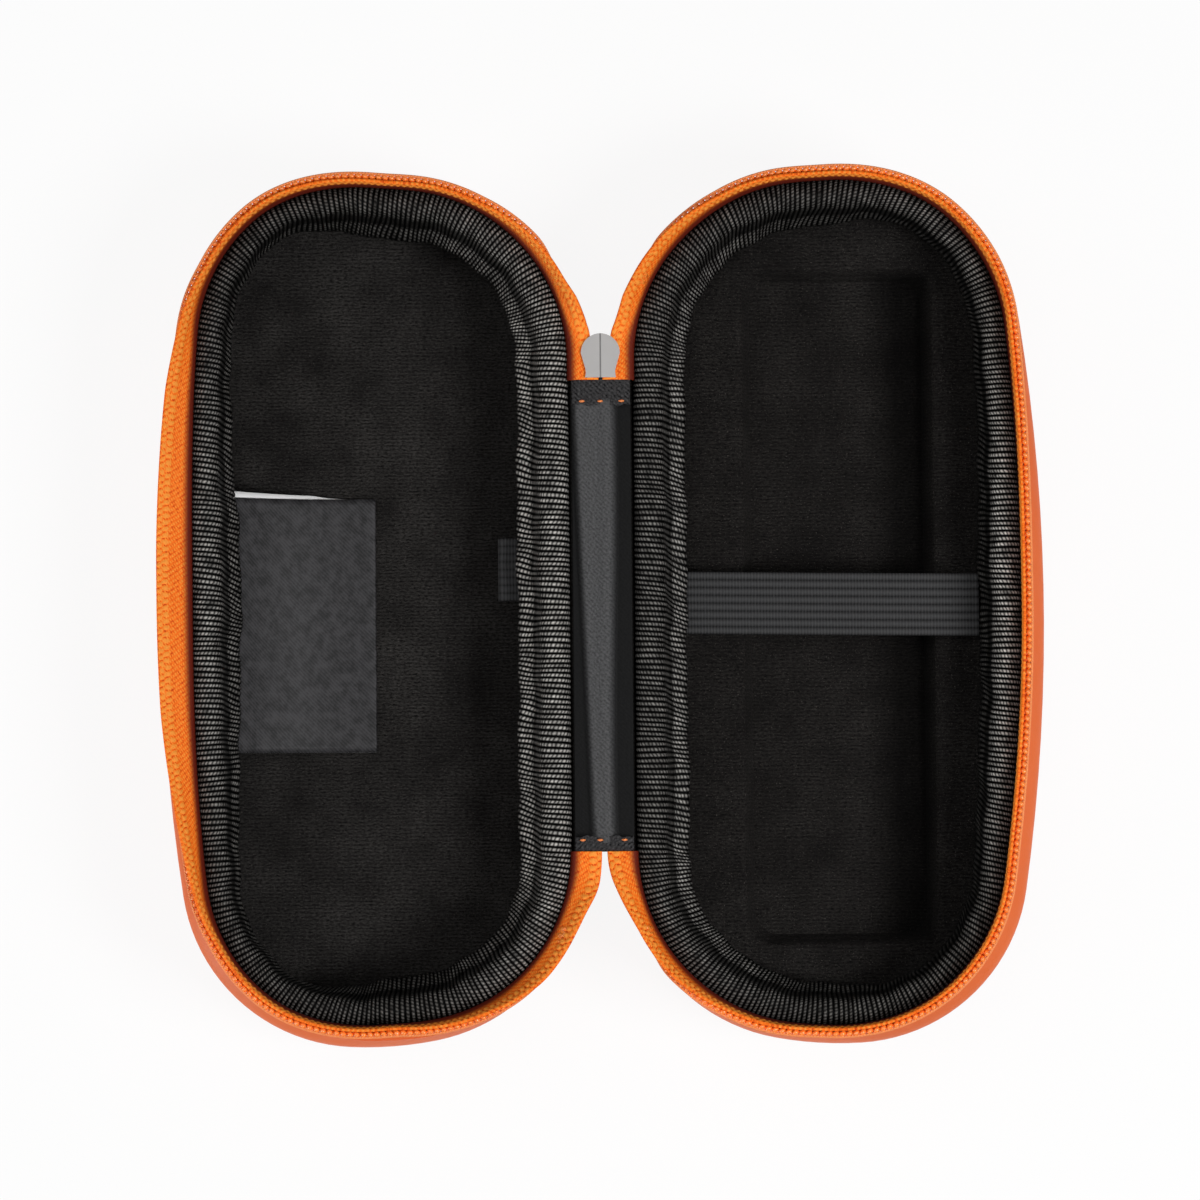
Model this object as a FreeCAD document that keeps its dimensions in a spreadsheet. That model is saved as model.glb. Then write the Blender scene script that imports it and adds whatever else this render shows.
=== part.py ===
import FreeCAD, Part
import math
import os

import Sketcher

# Zip-round hard case, lying open like a book. Millimetres, +Z up.
# X = 0 is the middle of the fabric spine, the base half lies at +X and the lid half at -X,
# Y = 0 is the middle of the case's length, and Z = 0 is the table that both halves lie on.

doc = FreeCAD.newDocument("hard_case")
dims = doc.addObject("Spreadsheet::Sheet", "Dims")

SIZES = {
    # Plan of the seam where zip tape, shell and binding are sewn together
    "seam_width": 75.0,
    "seam_length": 164.4,
    "seam_gap": 12.2,
    "spine_corner_radius": 34.0,
    "end_radius": 70.0,
    "corner_spread": 8.0,
    "side_radius": 380.0,
    "crown_offset": 4.5,
    # Shell of one half: laminated walls and the moulded section
    "rim_height": 25.0,
    "band_height": 7.0,
    "shoulder_height": 6.0,
    "edge_radius": 11.0,
    "bulge_side": 4.2,
    "bulge_end": 2.0,
    "cover_wall": 0.7,
    "foam_core": 3.4,
    "foam_rim": 0.6,
    "lining_wall": 0.5,
    "bond_gap": 0.1,
    # Zip tape and coil
    "tape_wall": 0.6,
    "tape_free": 7.1,
    "tape_sewn": 6.0,
    "tape_lean": 12.0,
    "coil_pitch": 1.27,
    "coil_wire": 0.9,
    "coil_width": 3.0,
    "coil_reach": 0.8,
    "coil_depth": 1.4,
    "coil_head": 0.6,
    "tape_turn": 3.4,
    "zip_start_inset": 22.2,
    # Binding ribbon folded over the rim
    "sew_gap": 0.3,
    "roll_width": 5.2,
    "roll_drop": 4.0,
    "roll_centre": -0.2,
    "leg_reach": 9.5,
    "leg_drop": 8.0,
    "leg_wall": 1.0,
    # Moulded tray in the base
    "tray_height": 7.0,
    "tray_clear": 0.3,
    "tray_web": 1.2,
    "recess_spine_margin": 21.8,
    "recess_outer_margin": 15.2,
    "recess_end_margin": 15.4,
    "recess_corner": 5.0,
    "recess_slope": 18.0,
    "recess_lip": 1.5,
    # Elastic strap, elastic loop and woven label
    "elastic_width": 12.3,
    "elastic_wall": 1.2,
    "strap_centre": 0.3,
    "sewn_under": 2.5,
    "loop_centre": 7.5,
    "loop_reach": 6.8,
    "loop_wall": 1.0,
    "label_length": 50.5,
    "label_reach": 26.5,
    "label_centre": -2.9,
    "label_ply": 0.35,
    "label_gap": 0.15,
    # Fabric spine and its end tabs
    "spine_lift": 0.8,
    "spine_cover_wall": 0.6,
    "spine_lining_wall": 0.5,
    "spine_top_inset": 38.2,
    "spine_bottom_inset": 34.2,
    "top_tab_length": 4.6,
    "bottom_tab_length": 2.6,
    "tab_inset": 0.7,
    "tab_proud": 0.2,
    "end_gap": 0.15,
    # Slider and pull tab
    "slider_length": 8.6,
    "slider_head": 7.6,
    "slider_neck": 5.6,
    "slider_tail": 6.0,
    "slider_flare": 1.2,
    "slider_plate": 0.9,
    "slider_ridge": 0.35,
    "slider_waist": 2.5,
    "slider_post": 2.0,
    "slider_play": 0.1,
    "coil_room": 1.5,
    "flange_wall": 0.45,
    "flange_length": 4.0,
    "bail_width": 2.0,
    "bail_wall": 1.0,
    "bail_span": 5.4,
    "bail_drop": 2.4,
    "bail_round": 0.8,
    "pull_length": 20.0,
    "pull_width": 4.4,
    "pull_wall": 1.1,
    "pull_play": 0.3,
    "pull_tip": 2.0,
}
for row, (alias, size) in enumerate(SIZES.items(), start=1):
    dims.set(f"A{row}", alias)
    dims.set(f"B{row}", str(size))
    dims.setAlias(f"B{row}", alias)
doc.recompute()


def value(expression):
    """The number that an expression over the sheet comes to."""
    return float(dims.evalExpression(expression))


# Expressions that several pieces share
SEAM_X = "Dims.seam_gap / 2"
RIM = "Dims.rim_height"
BAND_WALL = "(Dims.cover_wall + Dims.foam_rim + Dims.lining_wall + 2 * Dims.bond_gap)"
BELLY_WALL = "(Dims.cover_wall + Dims.foam_core + Dims.lining_wall + 2 * Dims.bond_gap)"
BELLY_TOP = "(Dims.rim_height - Dims.band_height - Dims.shoulder_height)"
SPINE_Z = f"({RIM} + Dims.spine_lift)"
HINGE_Z = f"({SPINE_Z} + Dims.spine_cover_wall + Dims.bond_gap + Dims.spine_lining_wall)"
LEG_Z = "(Dims.rim_height - Dims.leg_drop)"
ZIP_START = "(Dims.seam_length / 2 - Dims.zip_start_inset)"
SPINE_TOP = "(Dims.seam_length / 2 - Dims.spine_top_inset)"
SPINE_BOTTOM = "(Dims.seam_length / 2 - Dims.spine_bottom_inset)"


# Sketch helpers

def plane(body, role):
    return [item for item in body.Origin.OriginFeatures if item.Role == role][0]


def new_sketch(body, name, role, offset=None):
    """A sketch on one of the body's own origin planes, raised by an expression."""
    sketch = body.newObject("Sketcher::SketchObject", name)
    sketch.AttachmentSupport = [(plane(body, role), "")]
    sketch.MapMode = "FlatFace"
    if offset:
        sketch.setExpression("AttachmentOffset.Base.z", offset)
    return sketch


def bind(sketch, constraint, expression):
    """Add a sized constraint and tie it to the sheet."""
    index = sketch.addConstraint(constraint)
    sketch.setExpression(f"Constraints[{index}]", expression)


def polygon(sketch, corners, arcs=()):
    """A closed outline through corners given as pairs of expressions.

    arcs lists the level sides, by the number of their first corner, that run to the right as
    half circles over the top."""
    points = [FreeCAD.Vector(value(x), value(y), 0) for x, y in corners]
    count = len(points)
    for side in range(count):
        start = points[side]
        end = points[(side + 1) % count]
        if side in arcs:
            centre = (start + end) * 0.5
            angle = math.atan2(end.y - start.y, end.x - start.x)
            circle = Part.Circle(centre, FreeCAD.Vector(0, 0, 1), (end - start).Length / 2)
            sketch.addGeometry(Part.ArcOfCircle(circle, angle, angle + math.pi))
        else:
            sketch.addGeometry(Part.LineSegment(start, end))
    for side in range(count):
        following = (side + 1) % count
        leave = 1 if side in arcs else 2
        arrive = 2 if following in arcs else 1
        sketch.addConstraint(Sketcher.Constraint("Coincident", side, leave, following, arrive))
    for side, (x, y) in enumerate(corners):
        first = 2 if side in arcs else 1
        bind(sketch, Sketcher.Constraint("DistanceX", -1, 1, side, first, points[side].x), x)
        bind(sketch, Sketcher.Constraint("DistanceY", -1, 1, side, first, points[side].y), y)
    for side in arcs:
        bind(sketch, Sketcher.Constraint("DistanceY", -1, 1, side, 3, points[side].y), corners[side][1])


# Plan of one half: a straight spine side, crowned ends and outer side, and round corners

OUTER_CORNER = "(Dims.seam_width - Dims.spine_corner_radius - Dims.corner_spread)"


def seam_plan(grow):
    """Expressions for the seam outline, offset outwards by an expression."""
    return {
        "spine": f"{SEAM_X} - ({grow})",
        "outer": f"{SEAM_X} + Dims.seam_width + ({grow})",
        "half": f"Dims.seam_length / 2 + ({grow})",
        "end_x": f"{SEAM_X} + Dims.spine_corner_radius + Dims.crown_offset",
        "spine_radius": f"Dims.spine_corner_radius + ({grow})",
        "end_radius": f"Dims.end_radius + ({grow})",
        "outer_radius": f"{OUTER_CORNER} + ({grow})",
        "side_radius": f"Dims.side_radius + ({grow})",
    }


def belly_plan(grow, share="1"):
    """The seam outline swollen at its outer side and ends by a share of the belly's bulge."""
    plan = seam_plan(grow)
    plan["outer"] += f" + Dims.bulge_side * {share}"
    plan["half"] += f" + Dims.bulge_end * {share}"
    plan["end_x"] += f" + Dims.bulge_side * {share} / 2"
    return plan


def circle_crossing(first, first_radius, second, second_radius):
    """The crossing of two circles with the larger Y."""
    apart = second - first
    along = (first_radius ** 2 - second_radius ** 2 + apart.Length ** 2) / (2 * apart.Length)
    aside = math.sqrt(first_radius ** 2 - along ** 2)
    unit = apart / apart.Length
    foot = first + unit * along
    across = FreeCAD.Vector(-unit.y, unit.x, 0) * aside
    return max(foot + across, foot - across, key=lambda point: point.y)


def plan_arcs(plan):
    """The upper half's four arcs as (centre, radius, start angle, end angle), spine side first."""
    size = {name: value(expression) for name, expression in plan.items()}
    end = FreeCAD.Vector(size["end_x"], size["half"] - size["end_radius"], 0)
    side = FreeCAD.Vector(size["outer"] - size["side_radius"], 0, 0)
    spine_x = size["spine"] + size["spine_radius"]
    reach = size["end_radius"] - size["spine_radius"]
    spine = FreeCAD.Vector(spine_x, end.y + math.sqrt(reach ** 2 - (spine_x - end.x) ** 2), 0)
    outer = circle_crossing(
        end, size["end_radius"] - size["outer_radius"], side, size["side_radius"] - size["outer_radius"])
    spine_turn = math.atan2(spine.y - end.y, spine.x - end.x)
    outer_turn = math.atan2(outer.y - end.y, outer.x - end.x)
    side_turn = math.atan2(outer.y - side.y, outer.x - side.x)
    return [
        (spine, size["spine_radius"], spine_turn, math.pi),
        (end, size["end_radius"], outer_turn, spine_turn),
        (outer, size["outer_radius"], side_turn, outer_turn),
        (side, size["side_radius"], -side_turn, side_turn),
    ]


def plan_sketch(sketch, plan):
    """Draw the outline as lines and tangent arcs whose sizes are tied to the sheet.

    The spine side is two lines that meet on the X axis, so a path starts there."""
    up = FreeCAD.Vector(0, 0, 1)
    spine, end, outer, side = plan_arcs(plan)
    first = len(sketch.Geometry)
    corner = FreeCAD.Vector(value(plan["spine"]), spine[0].y, 0)
    middle = FreeCAD.Vector(corner.x, 0, 0)
    mirrored = [
        (FreeCAD.Vector(centre.x, -centre.y, 0), radius, -finish, -start)
        for centre, radius, start, finish in (outer, end, spine)
    ]
    sketch.addGeometry(Part.LineSegment(middle, corner))
    for centre, radius, start, finish in [spine, end, outer, side] + mirrored:
        sketch.addGeometry(Part.ArcOfCircle(Part.Circle(centre, up, radius), start, finish))
    sketch.addGeometry(Part.LineSegment(FreeCAD.Vector(corner.x, -corner.y, 0), middle))

    line = first
    spine_arc, end_arc, outer_arc, side_arc, outer_low, end_low, spine_low = range(first + 1, first + 8)
    last_line = first + 8
    chain = [spine_arc, end_arc, outer_arc, side_arc, outer_low, end_low, spine_low]
    sketch.addConstraint(Sketcher.Constraint("Tangent", line, 2, spine_arc, 2))
    for one, following in zip(chain, chain[1:]):
        sketch.addConstraint(Sketcher.Constraint("Tangent", one, 1, following, 2))
    sketch.addConstraint(Sketcher.Constraint("Tangent", spine_low, 1, last_line, 1))
    sketch.addConstraint(Sketcher.Constraint("Coincident", last_line, 2, line, 1))
    sketch.addConstraint(Sketcher.Constraint("PointOnObject", line, 1, -1))
    sketch.addConstraint(Sketcher.Constraint("Vertical", line))
    sketch.addConstraint(Sketcher.Constraint("Vertical", last_line))
    sketch.addConstraint(Sketcher.Constraint("PointOnObject", side_arc, 3, -1))
    sketch.addConstraint(Sketcher.Constraint("Symmetric", end_arc, 3, end_low, 3, -1))
    for one, other in ((spine_arc, spine_low), (end_arc, end_low), (outer_arc, outer_low)):
        sketch.addConstraint(Sketcher.Constraint("Equal", one, other))
    bind(sketch, Sketcher.Constraint("DistanceX", -1, 1, line, 1, corner.x), plan["spine"])
    bind(sketch, Sketcher.Constraint("DistanceX", -1, 1, end_arc, 3, end[0].x), plan["end_x"])
    bind(sketch, Sketcher.Constraint("DistanceY", -1, 1, end_arc, 3, end[0].y),
         f"{plan['half']} - ({plan['end_radius']})")
    bind(sketch, Sketcher.Constraint("DistanceX", -1, 1, side_arc, 3, side[0].x),
         f"{plan['outer']} - ({plan['side_radius']})")
    bind(sketch, Sketcher.Constraint("Radius", spine_arc, spine[1]), plan["spine_radius"])
    bind(sketch, Sketcher.Constraint("Radius", end_arc, end[1]), plan["end_radius"])
    bind(sketch, Sketcher.Constraint("Radius", outer_arc, outer[1]), plan["outer_radius"])
    bind(sketch, Sketcher.Constraint("Radius", side_arc, side[1]), plan["side_radius"])


# Feature helpers

def pad(body, sketch, length, downwards=False, taper=None):
    feature = body.newObject("PartDesign::Pad", sketch.Name + "Pad")
    feature.Profile = sketch
    feature.Reversed = downwards
    feature.setExpression("Length", length)
    if taper:
        feature.setExpression("TaperAngle", taper)
    doc.recompute()
    return feature


def pocket(body, sketch, depth, taper=None):
    """Cut the sketch downwards and make sure that it removed something."""
    before = body.Shape.Volume
    feature = body.newObject("PartDesign::Pocket", sketch.Name + "Pocket")
    feature.Profile = sketch
    feature.setExpression("Length", depth)
    if taper:
        feature.setExpression("TaperAngle", taper)
    doc.recompute()
    if body.Shape.Volume >= before:
        raise RuntimeError(f"{sketch.Name} cuts nothing from {body.Label}")
    return feature


def fillet(body, base, radius, chosen):
    """Round the edges of a feature for which chosen(edge) is true."""
    names = [f"Edge{number}" for number, edge in enumerate(base.Shape.Edges, start=1) if chosen(edge)]
    feature = body.newObject("PartDesign::Fillet", base.Name + "Fillet")
    feature.Base = (base, names)
    feature.setExpression("Radius", radius)
    doc.recompute()
    return feature


def level_edge(height):
    """A test for edges that lie flat at one height."""
    def lies_flat(edge):
        box = edge.BoundBox
        return abs(box.ZMin - height) < 1e-4 and abs(box.ZMax - height) < 1e-4
    return lies_flat


def new_body(name):
    body = doc.addObject("PartDesign::Body", name)
    body.Label = name
    return body


def cut(name, base, tool):
    feature = doc.addObject("Part::Cut", name)
    feature.Label = name
    feature.Base = base
    feature.Tool = tool
    doc.recompute()
    return feature


# Shell of the base: three nested skins, each the space between two envelopes

SHOULDER_STEPS = 4


def envelope(name, belly_inset, band_inset, top):
    """A solid of the shell's outer form shrunk by the insets: round-edged belly, shoulder, rim band.

    The shoulder is a loft through level outlines whose bulge falls off along an S curve."""
    body = new_body(name)
    band_grow = f"(Dims.bond_gap + {BAND_WALL} - ({band_inset}))"
    belly_grow = f"(Dims.bond_gap + {BAND_WALL} - ({belly_inset}))"
    outlines = []
    for step in range(SHOULDER_STEPS + 1):
        along = step / SHOULDER_STEPS
        share = f"{1 - along ** 2 * (3 - 2 * along)}"
        outline = new_sketch(
            body, f"{name}Outline{step}", "XY_Plane", f"{BELLY_TOP} + Dims.shoulder_height * {along}")
        grow = f"{belly_grow} * {share} + {band_grow} * (1 - {share})"
        plan_sketch(outline, belly_plan(grow, share))
        outlines.append(outline)
    doc.recompute()
    base = pad(body, outlines[0], f"{BELLY_TOP} - ({belly_inset})", downwards=True)
    fillet(body, base, f"Dims.edge_radius - ({belly_inset})", level_edge(value(belly_inset)))
    shoulder = body.newObject("PartDesign::AdditiveLoft", name + "Shoulder")
    shoulder.Profile = outlines[0]
    shoulder.Sections = [(outline, [""]) for outline in outlines[1:]]
    doc.recompute()
    pad(body, outlines[-1], f"({top}) - {RIM} + Dims.band_height")
    return body


ABOVE_RIM = f"{RIM} + Dims.band_height"
COVER_IN = "Dims.cover_wall"
FOAM_OUT = "Dims.cover_wall + Dims.bond_gap"
FOAM_IN = f"{FOAM_OUT} + Dims.foam_core"
FOAM_RIM_IN = f"{FOAM_OUT} + Dims.foam_rim"
LINING_OUT = f"{FOAM_IN} + Dims.bond_gap"
LINING_RIM_OUT = f"{FOAM_RIM_IN} + Dims.bond_gap"

base_shell_cover = cut(
    "base_shell_cover",
    envelope("cover_outside", "0", "0", RIM),
    envelope("cover_inside", COVER_IN, COVER_IN, ABOVE_RIM))
base_shell_foam = cut(
    "base_shell_foam",
    envelope("foam_outside", FOAM_OUT, FOAM_OUT, RIM),
    envelope("foam_inside", FOAM_IN, FOAM_RIM_IN, ABOVE_RIM))
base_lining = cut(
    "base_lining",
    envelope("lining_outside", LINING_OUT, LINING_RIM_OUT, RIM),
    envelope("lining_inside", BELLY_WALL, BAND_WALL, ABOVE_RIM))


# Moulded tray: a block that fills the bottom of the base, with a long recess for what it holds

base_tray = new_body("base_tray")
tray_inset = f"({BELLY_WALL} + Dims.tray_clear)"
tray_floor = f"({BELLY_WALL} + Dims.bond_gap)"
tray_top = f"({tray_floor} + Dims.tray_height)"
tray_block = new_sketch(base_tray, "TrayBlock", "XY_Plane", tray_top)
plan_sketch(tray_block, belly_plan(f"Dims.bond_gap + {BAND_WALL} - {tray_inset}"))
block = pad(base_tray, tray_block, "Dims.tray_height", downwards=True)
fillet(base_tray, block, f"Dims.edge_radius - {BELLY_WALL}", level_edge(value(tray_floor)))
recess = new_sketch(base_tray, "TrayRecess", "XY_Plane", tray_top)
recess_left = f"{SEAM_X} + Dims.recess_spine_margin"
recess_right = f"{SEAM_X} + Dims.seam_width - Dims.recess_outer_margin"
recess_end = "(Dims.seam_length / 2 - Dims.recess_end_margin)"
polygon(recess, [
    (recess_left, f"-{recess_end}"),
    (recess_right, f"-{recess_end}"),
    (recess_right, recess_end),
    (recess_left, recess_end),
])
hollow = pocket(base_tray, recess, "Dims.tray_height - Dims.tray_web", "-Dims.recess_slope")


def recess_corner(edge):
    box = edge.BoundBox
    inside = value(recess_left) - 0.01 < box.XMin and box.XMax < value(recess_right) + 0.01
    return inside and abs(box.YMax) < value(recess_end) + 0.01 and box.ZLength > 1


rounded = fillet(base_tray, hollow, "Dims.recess_corner", recess_corner)


def recess_rim(edge):
    box = edge.BoundBox
    inside = value(recess_left) - 0.01 < box.XMin and box.XMax < value(recess_right) + 0.01
    return inside and level_edge(value(tray_top))(edge)


fillet(base_tray, rounded, "Dims.recess_lip", recess_rim)


# Ribbon binding: one profile carried round the rim, a roll over the edge and a leg inside

def carried(name, path_plan, corners, arcs=()):
    """A body swept along a seam outline at rim level, with the profile drawn at the spine side."""
    body = new_body(name)
    path = new_sketch(body, name + "Path", "XY_Plane", RIM)
    plan_sketch(path, path_plan)
    profile = new_sketch(body, name + "Profile", "XZ_Plane")
    polygon(profile, corners, arcs)
    doc.recompute()
    pipe = body.newObject("PartDesign::AdditivePipe", name + "Pipe")
    pipe.Profile = profile
    pipe.Spine = (path, [f"Edge{number}" for number in range(1, len(path.Geometry) + 1)])
    pipe.Mode = "Standard"
    doc.recompute()
    return body


BINDING_SET = "(Dims.tape_wall + Dims.sew_gap)"
base_binding = carried("base_binding", seam_plan(f"-{BINDING_SET}"), [
    (f"{SEAM_X} + {BINDING_SET}", f"{RIM} + Dims.roll_centre"),
    (f"{SEAM_X} + {BINDING_SET} + Dims.roll_width", f"{RIM} + Dims.roll_centre"),
    (f"{SEAM_X} + Dims.leg_reach", LEG_Z),
    (f"{SEAM_X} + Dims.leg_reach - Dims.leg_wall", LEG_Z),
    (f"{SEAM_X} + {BINDING_SET} + Dims.roll_width - Dims.leg_wall", f"{RIM} - Dims.roll_drop"),
    (f"{SEAM_X} + {BINDING_SET}", f"{RIM} - Dims.roll_drop"),
], arcs=(0,))


# Zip tape: sewn upright inside the rim, then leaning outwards above it, open along the spine

LEAN_OUT = "sin(Dims.tape_lean)"
LEAN_UP = "cos(Dims.tape_lean)"
tape_loop = carried("tape_loop", seam_plan("0"), [
    (SEAM_X, f"{RIM} - Dims.tape_sewn"),
    (f"{SEAM_X} + Dims.tape_wall", f"{RIM} - Dims.tape_sewn"),
    (f"{SEAM_X} + Dims.tape_wall", RIM),
    (f"{SEAM_X} - Dims.tape_free * {LEAN_OUT} + Dims.tape_wall * {LEAN_UP}",
     f"{RIM} + Dims.tape_free * {LEAN_UP} + Dims.tape_wall * {LEAN_OUT}"),
    (f"{SEAM_X} - Dims.tape_free * {LEAN_OUT}", f"{RIM} + Dims.tape_free * {LEAN_UP}"),
    (SEAM_X, RIM),
])
spine_notch = doc.addObject("Part::Box", "spine_notch")
spine_notch.setExpression("Placement.Base.y", f"-{ZIP_START}")
spine_notch.setExpression("Placement.Base.z", f"{RIM} - 2 * Dims.tape_sewn")
spine_notch.setExpression("Length", "Dims.seam_width / 2")
spine_notch.setExpression("Width", f"2 * {ZIP_START}")
spine_notch.setExpression("Height", "2 * Dims.tape_sewn + 2 * Dims.tape_free")
base_zip_tape = cut("base_zip_tape", tape_loop, spine_notch)


# Nylon coil: one tooth per pitch along the outer face of the tape, heads past its edge

def seam_walk():
    """The seam's arcs from the zip's start at +Y round to its end at -Y, each run clockwise."""
    spine, end, outer, side = plan_arcs(seam_plan("0"))
    opening = math.asin((value(ZIP_START) - spine[0].y) / spine[1])
    upper = [(spine[0], spine[1], spine[2], math.pi - opening), end, outer, side]
    lower = [
        (FreeCAD.Vector(centre.x, -centre.y, 0), radius, -finish, -start)
        for centre, radius, start, finish in reversed(upper[:3])
    ]
    return upper + lower


def coil_tooth(foot, outward):
    """One tooth: a five-sided section in the tape's lean, as thick as the coil's wire."""
    lean = math.radians(value("Dims.tape_lean"))
    up = FreeCAD.Vector(0, 0, 1)
    rise = outward * math.sin(lean) + up * math.cos(lean)
    out = outward * math.cos(lean) - up * math.sin(lean)
    along = up.cross(outward)
    tip = value("Dims.tape_free + Dims.coil_reach")
    heel = tip - value("Dims.coil_width")
    seat = value("Dims.bond_gap")
    depth = value("Dims.coil_depth")
    head = value("Dims.coil_head")
    section = [(heel, seat), (heel, depth), (tip - head, depth), (tip, depth - head), (tip, seat)]
    wire = value("Dims.coil_wire")
    start = foot - along * (wire / 2)
    corners = [start + rise * u + out * v for u, v in section]
    face = Part.Face(Part.makePolygon(corners + corners[:1]))
    return face.extrude(along * wire)


def coil_teeth():
    """Teeth at an even pitch along the whole walk."""
    walk = seam_walk()
    total = sum(radius * (finish - start) for _, radius, start, finish in walk)
    count = int((total - value("Dims.coil_wire")) / value("Dims.coil_pitch"))
    margin = (total - count * value("Dims.coil_pitch")) / 2
    teeth = []
    for number in range(count + 1):
        left = margin + number * value("Dims.coil_pitch")
        for centre, radius, start, finish in walk:
            if left <= radius * (finish - start):
                break
            left -= radius * (finish - start)
        angle = finish - left / radius
        outward = FreeCAD.Vector(math.cos(angle), math.sin(angle), 0)
        foot = centre + outward * radius + FreeCAD.Vector(0, 0, value(RIM))
        teeth.append(coil_tooth(foot, outward))
    return Part.makeCompound(teeth)


base_zip_coil = doc.addObject("Part::Feature", "base_zip_coil")
base_zip_coil.Label = "base_zip_coil"
base_zip_coil.Shape = coil_teeth()


# The lid is the base's mirror image across the spine

def mirrored(name, source, normal=(1, 0, 0)):
    feature = doc.addObject("Part::Mirroring", name)
    feature.Label = name
    feature.Source = source
    feature.Normal = FreeCAD.Vector(*normal)
    feature.Base = FreeCAD.Vector(0, 0, 0)
    doc.recompute()
    return feature


lid_shell_cover = mirrored("lid_shell_cover", base_shell_cover)
lid_shell_foam = mirrored("lid_shell_foam", base_shell_foam)
lid_lining = mirrored("lid_lining", base_lining)
lid_binding = mirrored("lid_binding", base_binding)
lid_zip_tape = mirrored("lid_zip_tape", base_zip_tape)
lid_zip_coil = mirrored("lid_zip_coil", base_zip_coil)


# Soft pieces sewn under the binding's legs

LEG_UNDER = f"({LEG_Z} - Dims.sew_gap)"
OUTER_X = f"({SEAM_X} + Dims.seam_width)"

elastic_strap = new_body("elastic_strap")
strap_end = new_sketch(elastic_strap, "StrapEnd", "YZ_Plane", f"{SEAM_X} + Dims.leg_reach - Dims.sewn_under")
polygon(strap_end, [
    ("Dims.strap_centre - Dims.elastic_width / 2", f"{LEG_UNDER} - Dims.elastic_wall"),
    ("Dims.strap_centre + Dims.elastic_width / 2", f"{LEG_UNDER} - Dims.elastic_wall"),
    ("Dims.strap_centre + Dims.elastic_width / 2", LEG_UNDER),
    ("Dims.strap_centre - Dims.elastic_width / 2", LEG_UNDER),
])
pad(elastic_strap, strap_end, "Dims.seam_width - 2 * (Dims.leg_reach - Dims.sewn_under)")


def upright_pad(name, corners, centre, length):
    """A side view in X and Z, padded along Y about a centre."""
    body = new_body(name)
    sketch = new_sketch(body, name + "Side", "XZ_Plane", f"-(({centre}) + ({length}) / 2)")
    polygon(sketch, corners)
    pad(body, sketch, length)
    return body


loop_sewn = f"-({SEAM_X} + Dims.leg_reach - Dims.sewn_under)"
loop_tip = f"-({SEAM_X} + Dims.leg_reach + Dims.loop_reach)"
elastic_loop = upright_pad("elastic_loop", [
    (loop_sewn, LEG_UNDER),
    (f"{loop_tip} + Dims.loop_wall", LEG_UNDER),
    (loop_tip, f"{LEG_UNDER} - Dims.loop_wall / 2"),
    (loop_tip, f"{LEG_UNDER} - 3 * Dims.loop_wall / 2"),
    (f"{loop_tip} + Dims.loop_wall", f"{LEG_UNDER} - 2 * Dims.loop_wall"),
    (loop_sewn, f"{LEG_UNDER} - 2 * Dims.loop_wall"),
], "Dims.loop_centre", "Dims.elastic_width")

label_sewn = f"-({OUTER_X} - Dims.leg_reach + Dims.sewn_under)"
label_free = f"-({OUTER_X} - Dims.leg_reach - Dims.label_reach)"
label_rest = f"({BELLY_WALL} + Dims.bond_gap)"
label = upright_pad("label", [
    (label_sewn, LEG_UNDER),
    (label_sewn, f"{LEG_UNDER} - Dims.label_ply"),
    (f"{label_free} - Dims.label_ply", f"{label_rest} + Dims.label_ply + Dims.label_gap"),
    (f"{label_free} - Dims.label_ply", f"{label_rest} + Dims.label_ply"),
    (label_sewn, f"{LEG_UNDER} - Dims.label_ply - Dims.label_gap"),
    (label_sewn, f"{LEG_UNDER} - 2 * Dims.label_ply - Dims.label_gap"),
    (label_free, label_rest),
    (label_free, f"{label_rest} + 2 * Dims.label_ply + Dims.label_gap"),
], "Dims.label_centre", "Dims.label_length")


# Fabric spine: an outer cover and an inner lining, capped at both ends by folded tabs

def flat_pad(name, corners, low, wall):
    """A plan in X and Y, padded upwards from a height."""
    body = new_body(name)
    sketch = new_sketch(body, name + "Plan", "XY_Plane", low)
    polygon(sketch, corners)
    pad(body, sketch, wall)
    return body


def band_corners(half_width, low, high):
    return [(f"-({half_width})", low), (half_width, low), (half_width, high), (f"-({half_width})", high)]


STRIP_HALF = f"{SEAM_X} - Dims.sew_gap"
STRIP_LOW = f"Dims.bottom_tab_length - {SPINE_BOTTOM} + Dims.end_gap"
STRIP_HIGH = f"{SPINE_TOP} - Dims.top_tab_length - Dims.end_gap"
TAB_HALF = f"{SEAM_X} - Dims.tab_inset"
TAB_WALL = f"{HINGE_Z} + Dims.tab_proud - {SPINE_Z}"

spine_cover = flat_pad(
    "spine_cover", band_corners(STRIP_HALF, STRIP_LOW, STRIP_HIGH), SPINE_Z, "Dims.spine_cover_wall")
spine_lining = flat_pad(
    "spine_lining", band_corners(STRIP_HALF, STRIP_LOW, STRIP_HIGH),
    f"{HINGE_Z} - Dims.spine_lining_wall", "Dims.spine_lining_wall")
spine_tab_top = flat_pad(
    "spine_tab_top",
    band_corners(TAB_HALF, f"{SPINE_TOP} - Dims.top_tab_length", SPINE_TOP), SPINE_Z, TAB_WALL)
spine_tab_bottom = flat_pad(
    "spine_tab_bottom",
    band_corners(TAB_HALF, f"-{SPINE_BOTTOM}", f"Dims.bottom_tab_length - {SPINE_BOTTOM}"),
    SPINE_Z, TAB_WALL)


# Ends of the zip tapes, laid flat in the spine's plane, from the tabs to where the tapes turn up

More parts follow.
